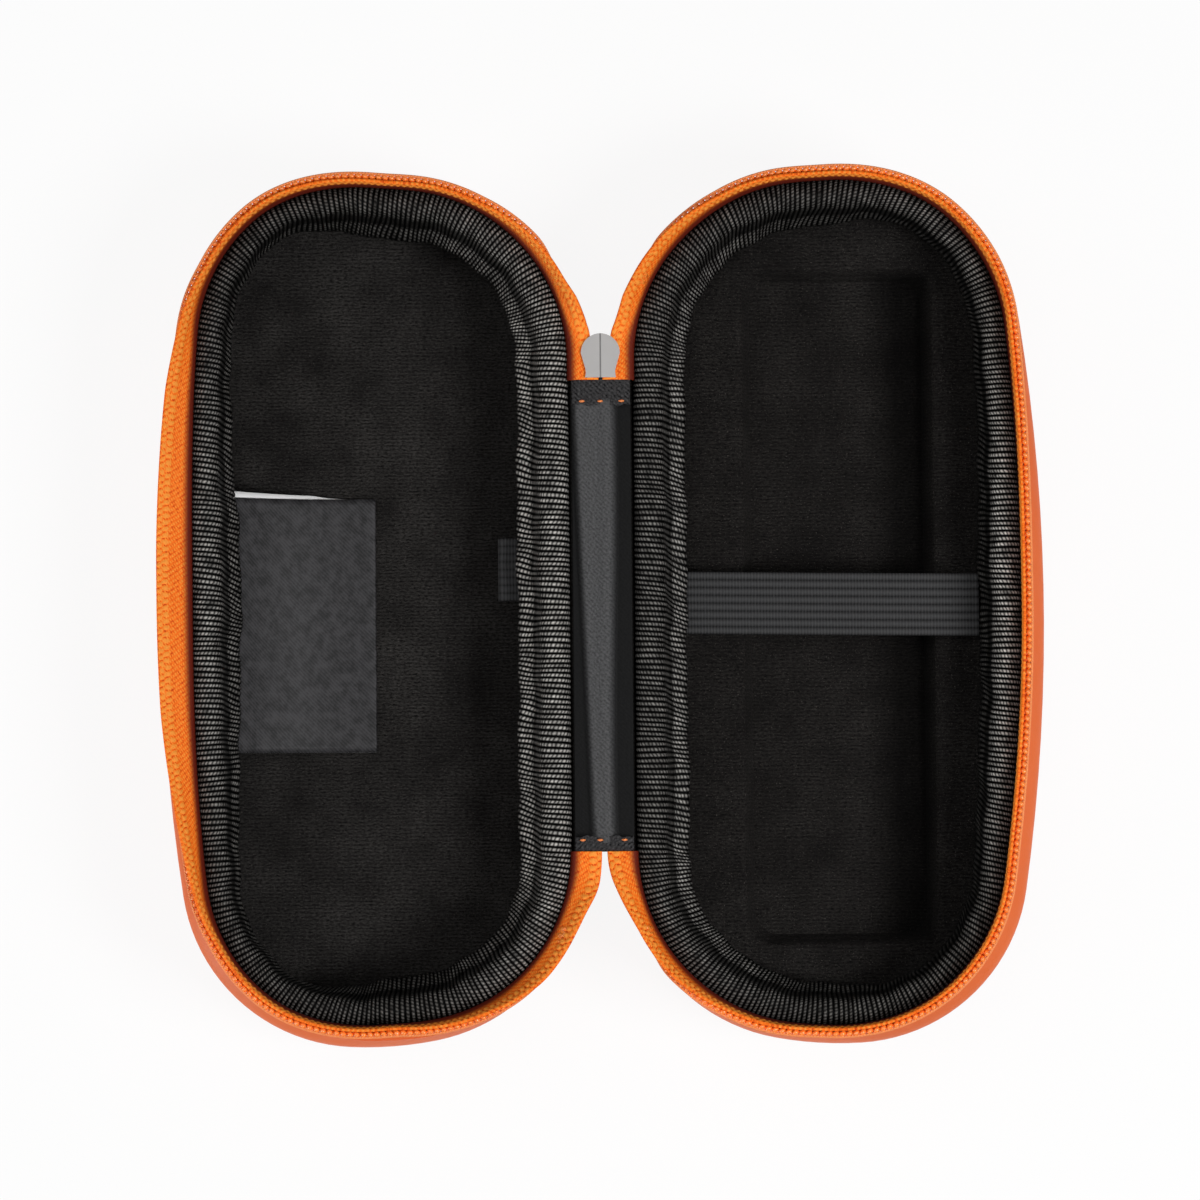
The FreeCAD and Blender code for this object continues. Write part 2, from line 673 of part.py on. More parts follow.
CORNER_Y = (
    "(Dims.seam_length / 2 - Dims.end_radius"
    " + sqrt((Dims.end_radius - Dims.spine_corner_radius)^2"
    " - Dims.crown_offset^2))"
)
SEAM_AT_ZIP = (
    f"({SEAM_X} + Dims.spine_corner_radius"
    f" - sqrt(Dims.spine_corner_radius^2 - ({ZIP_START} - {CORNER_Y})^2))"
)
TAPE_LOW = f"{HINGE_Z} - Dims.tape_wall"
POST_Y = f"({SPINE_TOP} + Dims.sew_gap + Dims.slider_length - Dims.slider_post)"
zip_turn = [
    (f"{SEAM_AT_ZIP} - Dims.sew_gap", f"{ZIP_START} - Dims.sew_gap"),
    (f"{SEAM_AT_ZIP} - Dims.tape_turn", f"{ZIP_START} - Dims.sew_gap"),
]
base_tape_end_top = flat_pad("base_tape_end_top", [
    ("Dims.end_gap", f"{SPINE_TOP} + Dims.end_gap"),
    (STRIP_HALF, f"{SPINE_TOP} + Dims.end_gap"),
    *zip_turn,
    ("Dims.slider_post / 2 + Dims.sew_gap", f"{POST_Y} - Dims.slider_post / 2"),
    ("Dims.end_gap", f"{POST_Y} - Dims.slider_post"),
], TAPE_LOW, "Dims.tape_wall")
bottom_plan = [("Dims.end_gap", f"{SPINE_BOTTOM} + Dims.end_gap"),
               (STRIP_HALF, f"{SPINE_BOTTOM} + Dims.end_gap"), *zip_turn]
base_tape_end_bottom = flat_pad(
    "base_tape_end_bottom", [(x, f"-({y})") for x, y in reversed(bottom_plan)], TAPE_LOW, "Dims.tape_wall")
lid_tape_end_top = mirrored("lid_tape_end_top", base_tape_end_top)
lid_tape_end_bottom = mirrored("lid_tape_end_bottom", base_tape_end_bottom)


# Slider: two shield-shaped plates joined by a post, side flanges for the coil, and a bail for the pull.
# The plates narrow to a waist and flare at the tail, and the inner one falls off from a middle ridge.

SLIDER_LOW = f"({SPINE_TOP} + Dims.sew_gap)"
SLIDER_HIGH = f"({SLIDER_LOW} + Dims.slider_length)"
SLIDER_NECK = f"({SLIDER_LOW} + Dims.slider_flare)"
SLIDER_SHOULDER = f"{SLIDER_HIGH} - Dims.slider_head / 2"
INNER_PLATE_Z = f"({HINGE_Z} + Dims.slider_play)"
OUTER_PLATE_Z = f"({HINGE_Z} - Dims.tape_wall - Dims.coil_room)"

slider_body = new_body("slider_body")
shield = [
    ("-Dims.slider_head / 2", SLIDER_SHOULDER),
    ("Dims.slider_head / 2", SLIDER_SHOULDER),
    ("Dims.slider_neck / 2", SLIDER_NECK),
    ("Dims.slider_tail / 2", SLIDER_LOW),
    ("-Dims.slider_tail / 2", SLIDER_LOW),
    ("-Dims.slider_neck / 2", SLIDER_NECK),
]


def waist_edge(edge):
    """The upright edges of a plate at the shield's two waists."""
    box = edge.BoundBox
    return box.ZLength > value("Dims.slider_plate") / 2 and abs(box.YMin - value(SLIDER_NECK)) < 1e-4


outer_plate = new_sketch(slider_body, "SliderOuterPlate", "XY_Plane", OUTER_PLATE_Z)
polygon(outer_plate, shield, arcs=(0,))
plate = pad(slider_body, outer_plate, "Dims.slider_plate", downwards=True)
fillet(slider_body, plate, "Dims.slider_waist", waist_edge)
post = new_sketch(slider_body, "SliderPost", "XY_Plane", OUTER_PLATE_Z)
post.addGeometry(Part.Circle(
    FreeCAD.Vector(0, value(POST_Y), 0), FreeCAD.Vector(0, 0, 1), value("Dims.slider_post / 2")))
post.addConstraint(Sketcher.Constraint("PointOnObject", 0, 3, -2))
bind(post, Sketcher.Constraint("DistanceY", -1, 1, 0, 3, value(POST_Y)), POST_Y)
bind(post, Sketcher.Constraint("Diameter", 0, value("Dims.slider_post")), "Dims.slider_post")
pad(slider_body, post, f"{INNER_PLATE_Z} - {OUTER_PLATE_Z}")
inner_plate = new_sketch(slider_body, "SliderInnerPlate", "XY_Plane", INNER_PLATE_Z)
polygon(inner_plate, shield, arcs=(0,))
plate = pad(slider_body, inner_plate, "Dims.slider_plate")
fillet(slider_body, plate, "Dims.slider_waist", waist_edge)
RIDGE_Z = f"({INNER_PLATE_Z} + Dims.slider_plate)"
for side, half in ((1, "Base"), (-1, "Lid")):
    flange = new_sketch(slider_body, "SliderFlange" + half, "XY_Plane", OUTER_PLATE_Z)
    near = f"{side} * (Dims.slider_neck / 2 - Dims.flange_wall)"
    far = f"{side} * Dims.slider_neck / 2"
    flange_top = f"{SLIDER_LOW} + Dims.flange_length"
    polygon(flange, [(near, SLIDER_LOW), (far, SLIDER_LOW), (far, flange_top), (near, flange_top)])
    pad(slider_body, flange, "Dims.coil_room - Dims.slider_play * 2")
    slope = new_sketch(slider_body, "SliderSlope" + half, "XZ_Plane", f"Dims.slider_play - {SLIDER_LOW}")
    plate_side = f"{side} * (Dims.slider_head / 2 + Dims.slider_play)"
    polygon(slope, [
        ("0", RIDGE_Z),
        (plate_side, f"{RIDGE_Z} - Dims.slider_ridge"),
        (plate_side, f"{RIDGE_Z} + Dims.slider_play"),
    ])
    pocket(slider_body, slope, "Dims.slider_length + 2 * Dims.slider_play")

BAIL_Y = f"({SLIDER_LOW} + Dims.slider_length / 2)"
BAIL_TOP = f"({OUTER_PLATE_Z} - Dims.slider_plate)"
BAIL_LOW = f"({BAIL_TOP} - Dims.bail_drop)"
bail = new_sketch(slider_body, "SliderBail", "YZ_Plane", "-Dims.bail_width / 2")
bail_near = f"{BAIL_Y} - Dims.bail_span / 2"
bail_far = f"{BAIL_Y} + Dims.bail_span / 2"
polygon(bail, [
    (bail_near, BAIL_TOP),
    (bail_near, BAIL_LOW),
    (bail_far, BAIL_LOW),
    (bail_far, BAIL_TOP),
    (f"{bail_far} - Dims.bail_wall", BAIL_TOP),
    (f"{bail_far} - Dims.bail_wall", f"{BAIL_LOW} + Dims.bail_wall"),
    (f"{bail_near} + Dims.bail_wall", f"{BAIL_LOW} + Dims.bail_wall"),
    (f"{bail_near} + Dims.bail_wall", BAIL_TOP),
])
bail_pad = pad(slider_body, bail, "Dims.bail_width")


def bail_corner(edge):
    """The bail's two lower corners, which run across the slider."""
    box = edge.BoundBox
    return box.XLength > value("Dims.bail_width") / 2 and max(
        box.YLength, abs(box.ZMin - value(BAIL_LOW)), abs(box.ZMax - value(BAIL_LOW))) < 1e-4


fillet(slider_body, bail_pad, "Dims.bail_round", bail_corner)


# Pull tab: a flat tongue with an eye whose round bar hangs in the slider's bail

PULL_Z = f"({BAIL_TOP} - (Dims.bail_drop - Dims.bail_wall) / 2)"
EYE_REACH = "(Dims.bail_span / 2 + Dims.bail_wall + Dims.pull_play)"
pull_tab = new_body("pull_tab")
eye_bar = new_sketch(pull_tab, "PullBar", "YZ_Plane", "-Dims.pull_width / 2")
eye_bar.addGeometry(Part.Circle(
    FreeCAD.Vector(value(BAIL_Y), value(PULL_Z), 0), FreeCAD.Vector(0, 0, 1), value("Dims.pull_wall / 2")))
bind(eye_bar, Sketcher.Constraint("DistanceX", -1, 1, 0, 3, value(BAIL_Y)), BAIL_Y)
bind(eye_bar, Sketcher.Constraint("DistanceY", -1, 1, 0, 3, value(PULL_Z)), PULL_Z)
bind(eye_bar, Sketcher.Constraint("Diameter", 0, value("Dims.pull_wall")), "Dims.pull_wall")
pad(pull_tab, eye_bar, "Dims.pull_width")
tongue = new_sketch(pull_tab, "PullTongue", "XZ_Plane", f"-({BAIL_Y} + Dims.pull_wall / 2)")
pull_half = "Dims.pull_width / 2"
eye_half = "(Dims.bail_width / 2 + Dims.pull_play)"
pull_end = f"({PULL_Z} - Dims.pull_length)"
polygon(tongue, [
    (pull_half, PULL_Z),
    (pull_half, pull_end),
    (f"-{pull_half}", pull_end),
    (f"-{pull_half}", PULL_Z),
    (f"-{eye_half}", PULL_Z),
    (f"-{eye_half}", f"{PULL_Z} - {EYE_REACH}"),
    (eye_half, f"{PULL_Z} - {EYE_REACH}"),
    (eye_half, PULL_Z),
])
tongue_pad = pad(pull_tab, tongue, "Dims.pull_wall")


def pull_tip_corner(edge):
    box = edge.BoundBox
    return box.YLength > value("Dims.pull_wall") / 2 and abs(box.ZMin - value(pull_end)) < 1e-4


fillet(pull_tab, tongue_pad, "Dims.pull_tip", pull_tip_corner)


# Check every object, then write one file for each sub-part

SUB_PARTS = [
    base_shell_cover, base_shell_foam, base_lining, base_tray, base_binding, base_zip_tape,
    base_zip_coil, elastic_strap, lid_shell_cover, lid_shell_foam, lid_lining, lid_binding,
    lid_zip_tape, lid_zip_coil, label, elastic_loop, spine_cover, spine_lining, spine_tab_top,
    spine_tab_bottom, base_tape_end_top, lid_tape_end_top, base_tape_end_bottom,
    lid_tape_end_bottom, slider_body, pull_tab,
]
doc.recompute()
for item in doc.Objects:
    if "Invalid" in item.State or "Error" in item.State:
        raise RuntimeError(f"{item.Name} failed: {item.getStatusString()}")
for item in SUB_PARTS:
    if item.Shape.isNull() or not item.Shape.isValid():
        raise RuntimeError(f"{item.Label} has no valid shape")

os.makedirs("parts", exist_ok=True)
for item in SUB_PARTS:
    item.Shape.exportStep(f"parts/{item.Label}.step")
    box = item.Shape.optimalBoundingBox()
    low = [round(edge, 2) for edge in (box.XMin, box.YMin, box.ZMin)]
    high = [round(edge, 2) for edge in (box.XMax, box.YMax, box.ZMax)]
    print(item.Label, len(item.Shape.Solids), "solids", round(item.Shape.Volume, 1), "mm3", low, high)
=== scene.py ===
import math
from functools import partial

import bpy
import numpy as np
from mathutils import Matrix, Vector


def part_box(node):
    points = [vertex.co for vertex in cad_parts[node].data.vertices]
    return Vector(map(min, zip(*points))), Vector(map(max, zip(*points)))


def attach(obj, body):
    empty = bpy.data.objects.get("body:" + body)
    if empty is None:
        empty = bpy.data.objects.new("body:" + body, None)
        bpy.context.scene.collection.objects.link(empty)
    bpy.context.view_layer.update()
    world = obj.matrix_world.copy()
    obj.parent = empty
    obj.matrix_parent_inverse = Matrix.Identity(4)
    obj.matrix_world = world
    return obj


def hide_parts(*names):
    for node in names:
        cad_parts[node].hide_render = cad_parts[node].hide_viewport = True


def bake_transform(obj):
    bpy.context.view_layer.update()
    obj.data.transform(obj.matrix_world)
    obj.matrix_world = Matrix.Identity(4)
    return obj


# Zip-round hard case, lying open like a book: base half at +X, lid half at -X, fabric spine between.
# Shapes are worked out in millimetres and put into the meshes in metres.

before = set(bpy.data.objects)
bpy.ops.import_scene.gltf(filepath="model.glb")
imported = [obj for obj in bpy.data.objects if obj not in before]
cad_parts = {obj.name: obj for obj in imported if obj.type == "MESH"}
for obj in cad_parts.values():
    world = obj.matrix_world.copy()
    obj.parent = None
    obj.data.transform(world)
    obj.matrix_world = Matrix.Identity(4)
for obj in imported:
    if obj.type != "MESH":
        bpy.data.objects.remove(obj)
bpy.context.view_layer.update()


# Foam core of the shells.
# Each half is pressed hot from a sheet of closed-cell EVA foam between the cover and the lining.
# Only the pressed rim comes near the light, under the binding.

def colour(code):
    """An sRGB hex value as linear red, green, blue and alpha."""
    srgb = np.array([int(code[place:place + 2], 16) for place in (0, 2, 4)]) / 255
    linear = np.where(srgb <= 0.04045, srgb / 12.92, ((srgb + 0.055) / 1.055) ** 2.4)
    return (*linear.tolist(), 1.0)


def per_metre(size):
    """How often a pattern of a size in millimetres repeats in a metre."""
    return 1000 / size


USED_OUTPUT = {"TexCoord": "Object", "TexNoise": "Fac", "TexWave": "Fac", "TexVoronoi": "Distance",
               "Attribute": "Fac", "Mix": 2}


def add_node(tree, kind, inputs=(), **settings):
    """Adds a shader node with its settings, and gives each named or numbered input a link, a hex colour
    or another value. Mix nodes mix colours. The output that this scene uses is returned."""
    made = tree.nodes.new("ShaderNode" + kind)
    if kind == "Mix":
        made.data_type = "RGBA"
    for name, setting in settings.items():
        setattr(made, name, setting)
    for name, given in dict(inputs).items():
        if isinstance(given, bpy.types.NodeSocket):
            tree.links.new(given, made.inputs[name])
        else:
            made.inputs[name].default_value = colour(given) if isinstance(given, str) else given
    return made.outputs[USED_OUTPUT.get(kind, 0)] if made.outputs else None


def new_material(name):
    """A new material without nodes, and the function that adds nodes to it."""
    material = bpy.data.materials.new(name)
    material.use_nodes = True
    material.node_tree.nodes.clear()
    return material, partial(add_node, material.node_tree)


def finished(material, looks, height=None, depth=0, strength=0.5):
    """Joins a shader of the given looks to the material's output, and where a height is given, bumps it
    to a depth in millimetres."""
    add = partial(add_node, material.node_tree)
    if height is not None:
        looks["Normal"] = add("Bump", {"Height": height, "Distance": depth * MM, "Strength": strength})
    add("OutputMaterial", {"Surface": add("BsdfPrincipled", looks)})
    return material


def dress(material, *nodes):
    """Gives a material to CAD nodes."""
    for node in nodes:
        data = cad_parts[node].data
        data.materials.clear()
        data.materials.append(material)


MM = 0.001
FOAM_CELL = 0.5
FOAM_COLOUR = "1D1D1F"


def eva_foam():
    """Closed-cell EVA: dull, charcoal, with the small dimples of cut cells."""
    material, add = new_material("closed_cell_eva_foam")
    place = add("TexCoord")
    cells = add("TexVoronoi", {"Vector": place, "Scale": per_metre(FOAM_CELL)})
    return finished(material, {"Base Color": FOAM_COLOUR, "Roughness": 0.9}, cells, depth=0.1)


dress(eva_foam(), "base_shell_foam", "lid_shell_foam")


# Orange cover of the shells.
# A knitted fabric with a smooth polyurethane coat, laminated to the foam and pressed with it.
# The coat gives an even orange with a fine leather grain and a soft, slightly pink sheen.

COVER_COLOUR = "D95F1D"
COVER_LIGHT = "DE6A2B"
COVER_BLUSH = "F5A08A"
COVER_GRAIN = 0.45
COVER_NOISE = 1.35
COVER_CLOUD = 18.0


def coated_fabric():
    """A polyurethane coat: clouded orange, with cells of grain over a coarser noise and a pink sheen."""
    material, add = new_material("orange_coated_fabric")
    place = add("TexCoord")
    cloud = add("TexNoise", {"Vector": place, "Scale": per_metre(COVER_CLOUD)})
    shade = add("Mix", {"Factor": cloud, 6: COVER_COLOUR, 7: COVER_LIGHT})
    grain = add("TexVoronoi", {"Vector": place, "Scale": per_metre(COVER_GRAIN)})
    noise = add("TexNoise", {"Vector": place, "Scale": per_metre(COVER_NOISE), "Detail": 4.0})
    height = add("Math", {0: grain, 1: noise}, operation="ADD")
    gloss = add("MapRange", {"Value": noise, "To Min": 0.42, "To Max": 0.56})
    return finished(material, {
        "Base Color": shade, "Roughness": gloss, "Specular IOR Level": 0.4, "Sheen Weight": 0.12,
        "Sheen Roughness": 0.4, "Sheen Tint": COVER_BLUSH}, height, depth=0.06, strength=0.35)


dress(coated_fabric(), "base_shell_cover", "lid_shell_cover")


# Linings and tray.
# A black brushed polyester knit is laminated inside both halves and over the moulded tray, whose
# long recess holds the thing that the case is made for. In the base it is pressed flatter and darker.
# The tray's outer wall is in shade in the photo, and a darker tone of the knit stands for part of that.

KNIT_COURSE = 0.75
COURSE_SHARE = 0.1
KNIT_STITCH = 0.32
KNIT_STRETCH = 0.45
KNIT_CLOUD = 9.0
KNIT_DARK = "0D0C0C"
KNIT_FACE = "494745"
KNIT_PRESSED = "383634"
KNIT_SPECK = "9A928C"
# Painted shade on the tray: where the knit darkens towards the recess's outer wall, and how dark.
RECESS_LIP = 65.9
RECESS_END = 66.8
LIP_WIDTH = 1.6
WALL_SHADE_TONE = 0.35
TONE_REACH = 14.0
TONE_FULL = 7.0


def wave_scale(size):
    """The scale at which a wave texture repeats every so many millimetres."""
    return math.pi / 10 * per_metre(size)


def painted_wall_shade(add, place, face):
    """Painted shade: a colour that darkens towards the recess's outer wall, and ends at its lip and the
    recess's ends.
    """
    across = add("SeparateXYZ", {"Vector": place}).node.outputs
    from_middle = add("Math", {0: across["Y"]}, operation="ABSOLUTE")
    share = 1.0
    for distance, none, full in ((across["X"], RECESS_LIP - TONE_REACH, RECESS_LIP - TONE_FULL),
                                 (across["X"], RECESS_LIP, RECESS_LIP - LIP_WIDTH),
                                 (from_middle, RECESS_END, RECESS_END - LIP_WIDTH)):
        step = add("MapRange", {"Value": distance, "From Min": none * MM, "From Max": full * MM})
        share = add("Math", {0: share, 1: step}, operation="MULTIPLY")
    tone = (WALL_SHADE_TONE, WALL_SHADE_TONE, WALL_SHADE_TONE, 1)
    return add("Mix", {"Factor": share, 6: face, 7: tone}, blend_type="MULTIPLY")


def brushed_knit(name, paler, wall_shaded=False):
    """Courses as a broken wave over short level stitches, with a few pale fibre ends."""
    material, add = new_material(name)
    place = add("TexCoord")
    drawn = add("Mapping", {"Vector": place, "Scale": (KNIT_STRETCH, 1, 1)})
    courses = add("TexWave", {
        "Vector": drawn, "Scale": wave_scale(KNIT_COURSE), "Distortion": 5.0, "Detail": 3.0,
        "Detail Scale": 1.5}, bands_direction="Y")
    stitches = add("TexNoise", {
        "Vector": drawn, "Scale": per_metre(KNIT_STITCH), "Detail": 3.0, "Roughness": 0.7})
    fuzz = add("TexNoise", {
        "Vector": place, "Scale": per_metre(KNIT_STITCH), "Detail": 4.0, "Roughness": 0.8})
    cloud = add("TexNoise", {"Vector": place, "Scale": per_metre(KNIT_CLOUD), "Detail": 2.0})
    rows = add("Math", {0: courses, 1: COURSE_SHARE, 2: stitches}, operation="MULTIPLY_ADD")
    shade = add("MapRange", {"Value": rows, "From Min": 0.38, "From Max": 0.75})
    cloudy = add("Math", {0: shade, 1: cloud}, operation="MULTIPLY")
    face = add("Mix", {"Factor": cloudy, 6: KNIT_DARK, 7: paler})
    ends = add("MapRange", {"Value": fuzz, "From Min": 0.6, "From Max": 0.8, "To Max": 0.6})
    flecked = add("Mix", {"Factor": ends, 6: face, 7: KNIT_SPECK})
    # On the tray, a painted shade darkens the knit towards the recess's outer wall.
    return finished(material, {
        "Base Color": painted_wall_shade(add, place, flecked) if wall_shaded else flecked, "Roughness": 1.0,
        "Specular IOR Level": 0.05}, rows, depth=0.3)


dress(brushed_knit("black_brushed_knit", KNIT_FACE), "lid_lining")
dress(brushed_knit("black_pressed_knit", KNIT_PRESSED), "base_lining")
dress(brushed_knit("black_knit_painted_wall_shade", KNIT_PRESSED, wall_shaded=True), "base_tray")


# Elastic strap.
# Woven elastic 12 mm wide, with eight lengthwise ribs of covered rubber, sewn at both ends under
# the binding so that it holds the thing in the tray down.

def node_box(node):
    """A CAD node's lowest and highest corner in millimetres."""
    return [np.array(corner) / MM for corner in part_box(node)]


def as_points(*axes):
    """Points from their coordinates along each axis, spread to one shape where they differ."""
    return np.stack(np.broadcast_arrays(*axes), axis=-1)


def surface(name, grid, uv, marks=(), along_closed=False, across_closed=True):
    """A mesh through a grid of points in millimetres, rows along the piece and columns across it.

    Neighbouring points make quads. A closed direction joins its last points to its first, and its
    uv, also in millimetres, then has one entry more. A piece that is closed across only is capped at
    its first and last row. Marks are named numbers that are spread over the points. Faces are turned
    so that the volume they hold is positive."""
    rows, columns = grid.shape[:2]
    index = np.arange(rows * columns).reshape(rows, columns)
    rings = [index[0, ::-1], index[-1]] if across_closed and not along_closed else []
    if along_closed:
        index = np.concatenate((index, index[:1]), axis=0)
    if across_closed:
        index = np.concatenate((index, index[:, :1]), axis=1)

    def corners(field):
        around = (field[:-1, :-1], field[:-1, 1:], field[1:, 1:], field[1:, :-1])
        return np.stack(around, axis=2).reshape(-1, 4, *field.shape[2:])

    points = grid.reshape(-1, 3) * MM
    quads = corners(index)
    quad_uv = corners(uv * MM)
    fans = [np.stack((np.full(len(ring) - 2, ring[0]), ring[1:-1], ring[2:]), axis=1) for ring in rings]
    triangles = points[np.concatenate([quads[:, :3], quads[:, [0, 2, 3]], *fans])]
    if (triangles[:, 0] * np.cross(triangles[:, 1], triangles[:, 2])).sum() < 0:
        quads = quads[:, ::-1]
        quad_uv = quad_uv[:, ::-1]
        rings = [ring[::-1] for ring in rings]
    mesh = bpy.data.meshes.new(name)
    mesh.from_pydata(points.tolist(), [], quads.tolist() + [ring.tolist() for ring in rings])
    weave = np.concatenate([quad_uv.reshape(-1, 2), np.zeros((sum(map(len, rings)), 2))])
    mesh.uv_layers.new(name="weave").uv.foreach_set("vector", weave.astype(np.float32).ravel())
    for mark, numbers in dict(marks).items():
        attribute = mesh.attributes.new(mark, "FLOAT", "POINT")
        spread = np.broadcast_to(numbers, (rows, columns))
        attribute.data.foreach_set("value", spread.astype(np.float32).ravel())
    mesh.shade_smooth()
    piece = bpy.data.objects.new(name, mesh)
    bpy.context.scene.collection.objects.link(piece)
    return piece


def uv_grid(along, across):
    """Distances along and across a piece as a uv grid."""
    return as_points(along[:, None], across)


def fit(piece, material, slot, *replaced):
    """Gives a piece its material and hides the CAD nodes that it stands for. The slot is not used."""
    piece.data.materials.append(material)
    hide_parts(*replaced)
    return piece


STRAP_RIBS = 8
RIB_SAMPLES = 8
STRAP_RIB_HEIGHT = 0.4
RIB_ROUNDNESS = 0.7
STRAP_SAG = 0.9
STRAP_SLANT = 0.9
STRAP_ROWS = 140
ELASTIC_WEFT = 0.62
ELASTIC_FUZZ = 0.8
ELASTIC_DARK = "080809"
ELASTIC_FACE = "414142"


def ribbed_elastic():
    """Polyester-covered rubber: dark grey ribs lined with fine cross threads, drawn a little coarse, with a
    painted highlight on the ribs' crests.
    """
    material, add = new_material("dark_grey_ribbed_elastic")
    place = add("UVMap", uv_map="weave")
    weft = add("TexWave", {
        "Vector": place, "Scale": wave_scale(ELASTIC_WEFT), "Distortion": 1.2, "Detail Scale": 0.8},
        bands_direction="X")
    fuzz = add("TexNoise", {"Vector": place, "Scale": per_metre(ELASTIC_FUZZ), "Detail": 4.0})
    crest = add("Attribute", attribute_name="crest")
    threads = add("Math", {0: weft, 1: fuzz}, operation="MULTIPLY")
    lit = add("Math", {0: threads, 1: crest}, operation="ADD")
    shade = add("MapRange", {"Value": lit, "From Min": 0.1, "From Max": 1.4})
    face = add("Mix", {"Factor": shade, 6: ELASTIC_DARK, 7: ELASTIC_FACE})
    return finished(material, {"Base Color": face, "Roughness": 0.8, "Specular IOR Level": 0.2},
                    threads, depth=0.15, strength=0.7)


def elastic_ribs(across):
    """The ribs' rise at shares of the elastic's width: |sin(pi * ribs * across)| ^ roundness."""
    return np.abs(np.sin(np.pi * STRAP_RIBS * across)) ** RIB_ROUNDNESS


def strap():
    """A ribbed band: z = half the wall + rib height * (rise - 1) above, flat below, sagging by a half
    sine along its length and slanting a little."""
    low, high = node_box("elastic_strap")
    length, width, wall = high - low
    along = np.linspace(0, 1, STRAP_ROWS)[:, None]
    across = np.linspace(0, 1, STRAP_RIBS * RIB_SAMPLES + 1)
    rib = elastic_ribs(across)
    over = as_points(across, wall / 2 + STRAP_RIB_HEIGHT * (rib - 1))
    under = as_points(across[::-RIB_SAMPLES], -wall / 2)
    ring = np.concatenate((over, under))
    middle = (low + high) / 2
    x = low[0] + along * length
    y = middle[1] + (ring[:, 0] - 0.5) * width + STRAP_SLANT * (0.5 - along)
    z = middle[2] + ring[:, 1] - STRAP_SAG * np.sin(np.pi * along)
    steps = np.append(ring[:, 0], 0) * width
    # The crest mark paints a highlight along the tops of the ribs.
    crest = np.append(rib, np.zeros(STRAP_RIBS + 1))
    weave = uv_grid(along[:, 0] * length, steps)
    piece = surface("woven_elastic_strap", as_points(x, y, z), weave, marks={"crest": crest})
    return piece


elastic = ribbed_elastic()
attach(fit(strap(), elastic, "elastic", "elastic_strap"), "base")


# Elastic loop.
# A short length of the same elastic, folded double and sewn under the lid's spine-side binding,
# as a holder for a small tool.

LOOP_WALL = 0.8
LOOP_SHORT = 1.9
LOOP_ROWS = 49
# Strength of the painted highlight on the loop's ribs.
LOOP_HIGHLIGHT = 0.6
FOLD_POINTS = 9
WAY_POINTS = 12


def unit(vectors):
    """Vectors at a length of 1."""
    return vectors / np.linalg.norm(vectors, axis=-1, keepdims=True)


def left_of(line):
    """Unit vectors to the left of lines of points (..., n, 2)."""
    run = np.gradient(line, axis=-2)
    return unit(as_points(-run[..., 1], run[..., 0]))


def band(line, wall, rise=0.0):
    """A closed outline round lines of points (..., n, 2): out along the left side at half the wall
    plus a rise, and back along the right side at half the wall."""
    left = left_of(line)
    out = line + left * (wall / 2 + np.broadcast_to(rise, line.shape[:-1]))[..., None]
    back = line - left * wall / 2
    return np.concatenate((out, np.flip(back, axis=-2)), axis=-2)


def run_length(line):
    """The distance run along a line of points, from its first point."""
    return np.concatenate(([0], np.cumsum(np.linalg.norm(np.diff(line, axis=0), axis=1))))


def there_and_back(run):
    """Distances out along one side of a band, back along the other, and to the first again."""
    return np.concatenate((run, run[::-1], run[:1]))


def folded_line(start, end, gap):
    """From start to end, round a half circle as wide as the gap, and back below: (x, z) points."""
    turn = np.linspace(0.5, -0.5, FOLD_POINTS) * np.pi
    ways = np.linspace(0, 1, WAY_POINTS)[:, None]
    sense = np.sign(end[0] - start[0])
    centre = np.array(end) - (0, gap / 2)
    fold = centre + gap / 2 * as_points(sense * np.cos(turn), np.sin(turn))
    out = np.array(start) + (fold[0] - start) * ways
    back = fold[-1] + (np.array(start) - (0, gap) - fold[-1]) * ways
    return np.concatenate((out[:-1], fold, back[1:]))


def loop():
    """The folded line as a band, carried along Y."""
    low, high = node_box("elastic_loop")
    low[0] += LOOP_SHORT
    gap = high[2] - low[2] - LOOP_WALL
    fold_reach = (gap + LOOP_WALL) / 2
    level = high[2] - LOOP_WALL / 2
    line = folded_line((high[0], level), (low[0] + fold_reach, level), gap)
    outline = band(line, LOOP_WALL)
    y = np.linspace(low[1], high[1], LOOP_ROWS)
    grid = as_points(outline[:, 0], y[:, None], outline[:, 1])
    run = run_length(line)
    weave = uv_grid(y, there_and_back(run))[..., ::-1]
    # The crest mark paints a highlight on the loop's ribs.
    rib = elastic_ribs(np.linspace(0, 1, LOOP_ROWS))
    piece = surface("folded_elastic_loop", grid, weave, marks={"crest": LOOP_HIGHLIGHT * rib[:, None]})
    return piece


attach(fit(loop(), elastic, "elastic", "elastic_loop"), "lid")


# Woven label.
# A satin-woven strip folded double, its ends sewn under the lid's outer binding. Its face is plain
# dark grey, its back is white, and the back ply lies a little askew, so that a white sliver shows.

LABEL_WALL = 0.3
LABEL_ROWS = 40
PLY_POINTS = 26
LABEL_FOLD_POINTS = 7
LABEL_ASKEW = 1.3
ASKEW_ALONG = {0.62: 0, 0.7: 0.55, 1.0: 1.0}
LABEL_DROP = 2.4
LABEL_RIPPLE = 0.15
RIPPLE_RUN = 6.5
LABEL_FACE = "131314"
LABEL_THREAD = "39383A"
LABEL_BACK = "FAFAFA"
LABEL_PITCH = 0.4
LABEL_MOTTLE = 2.5
THREAD_SHARE = 0.15


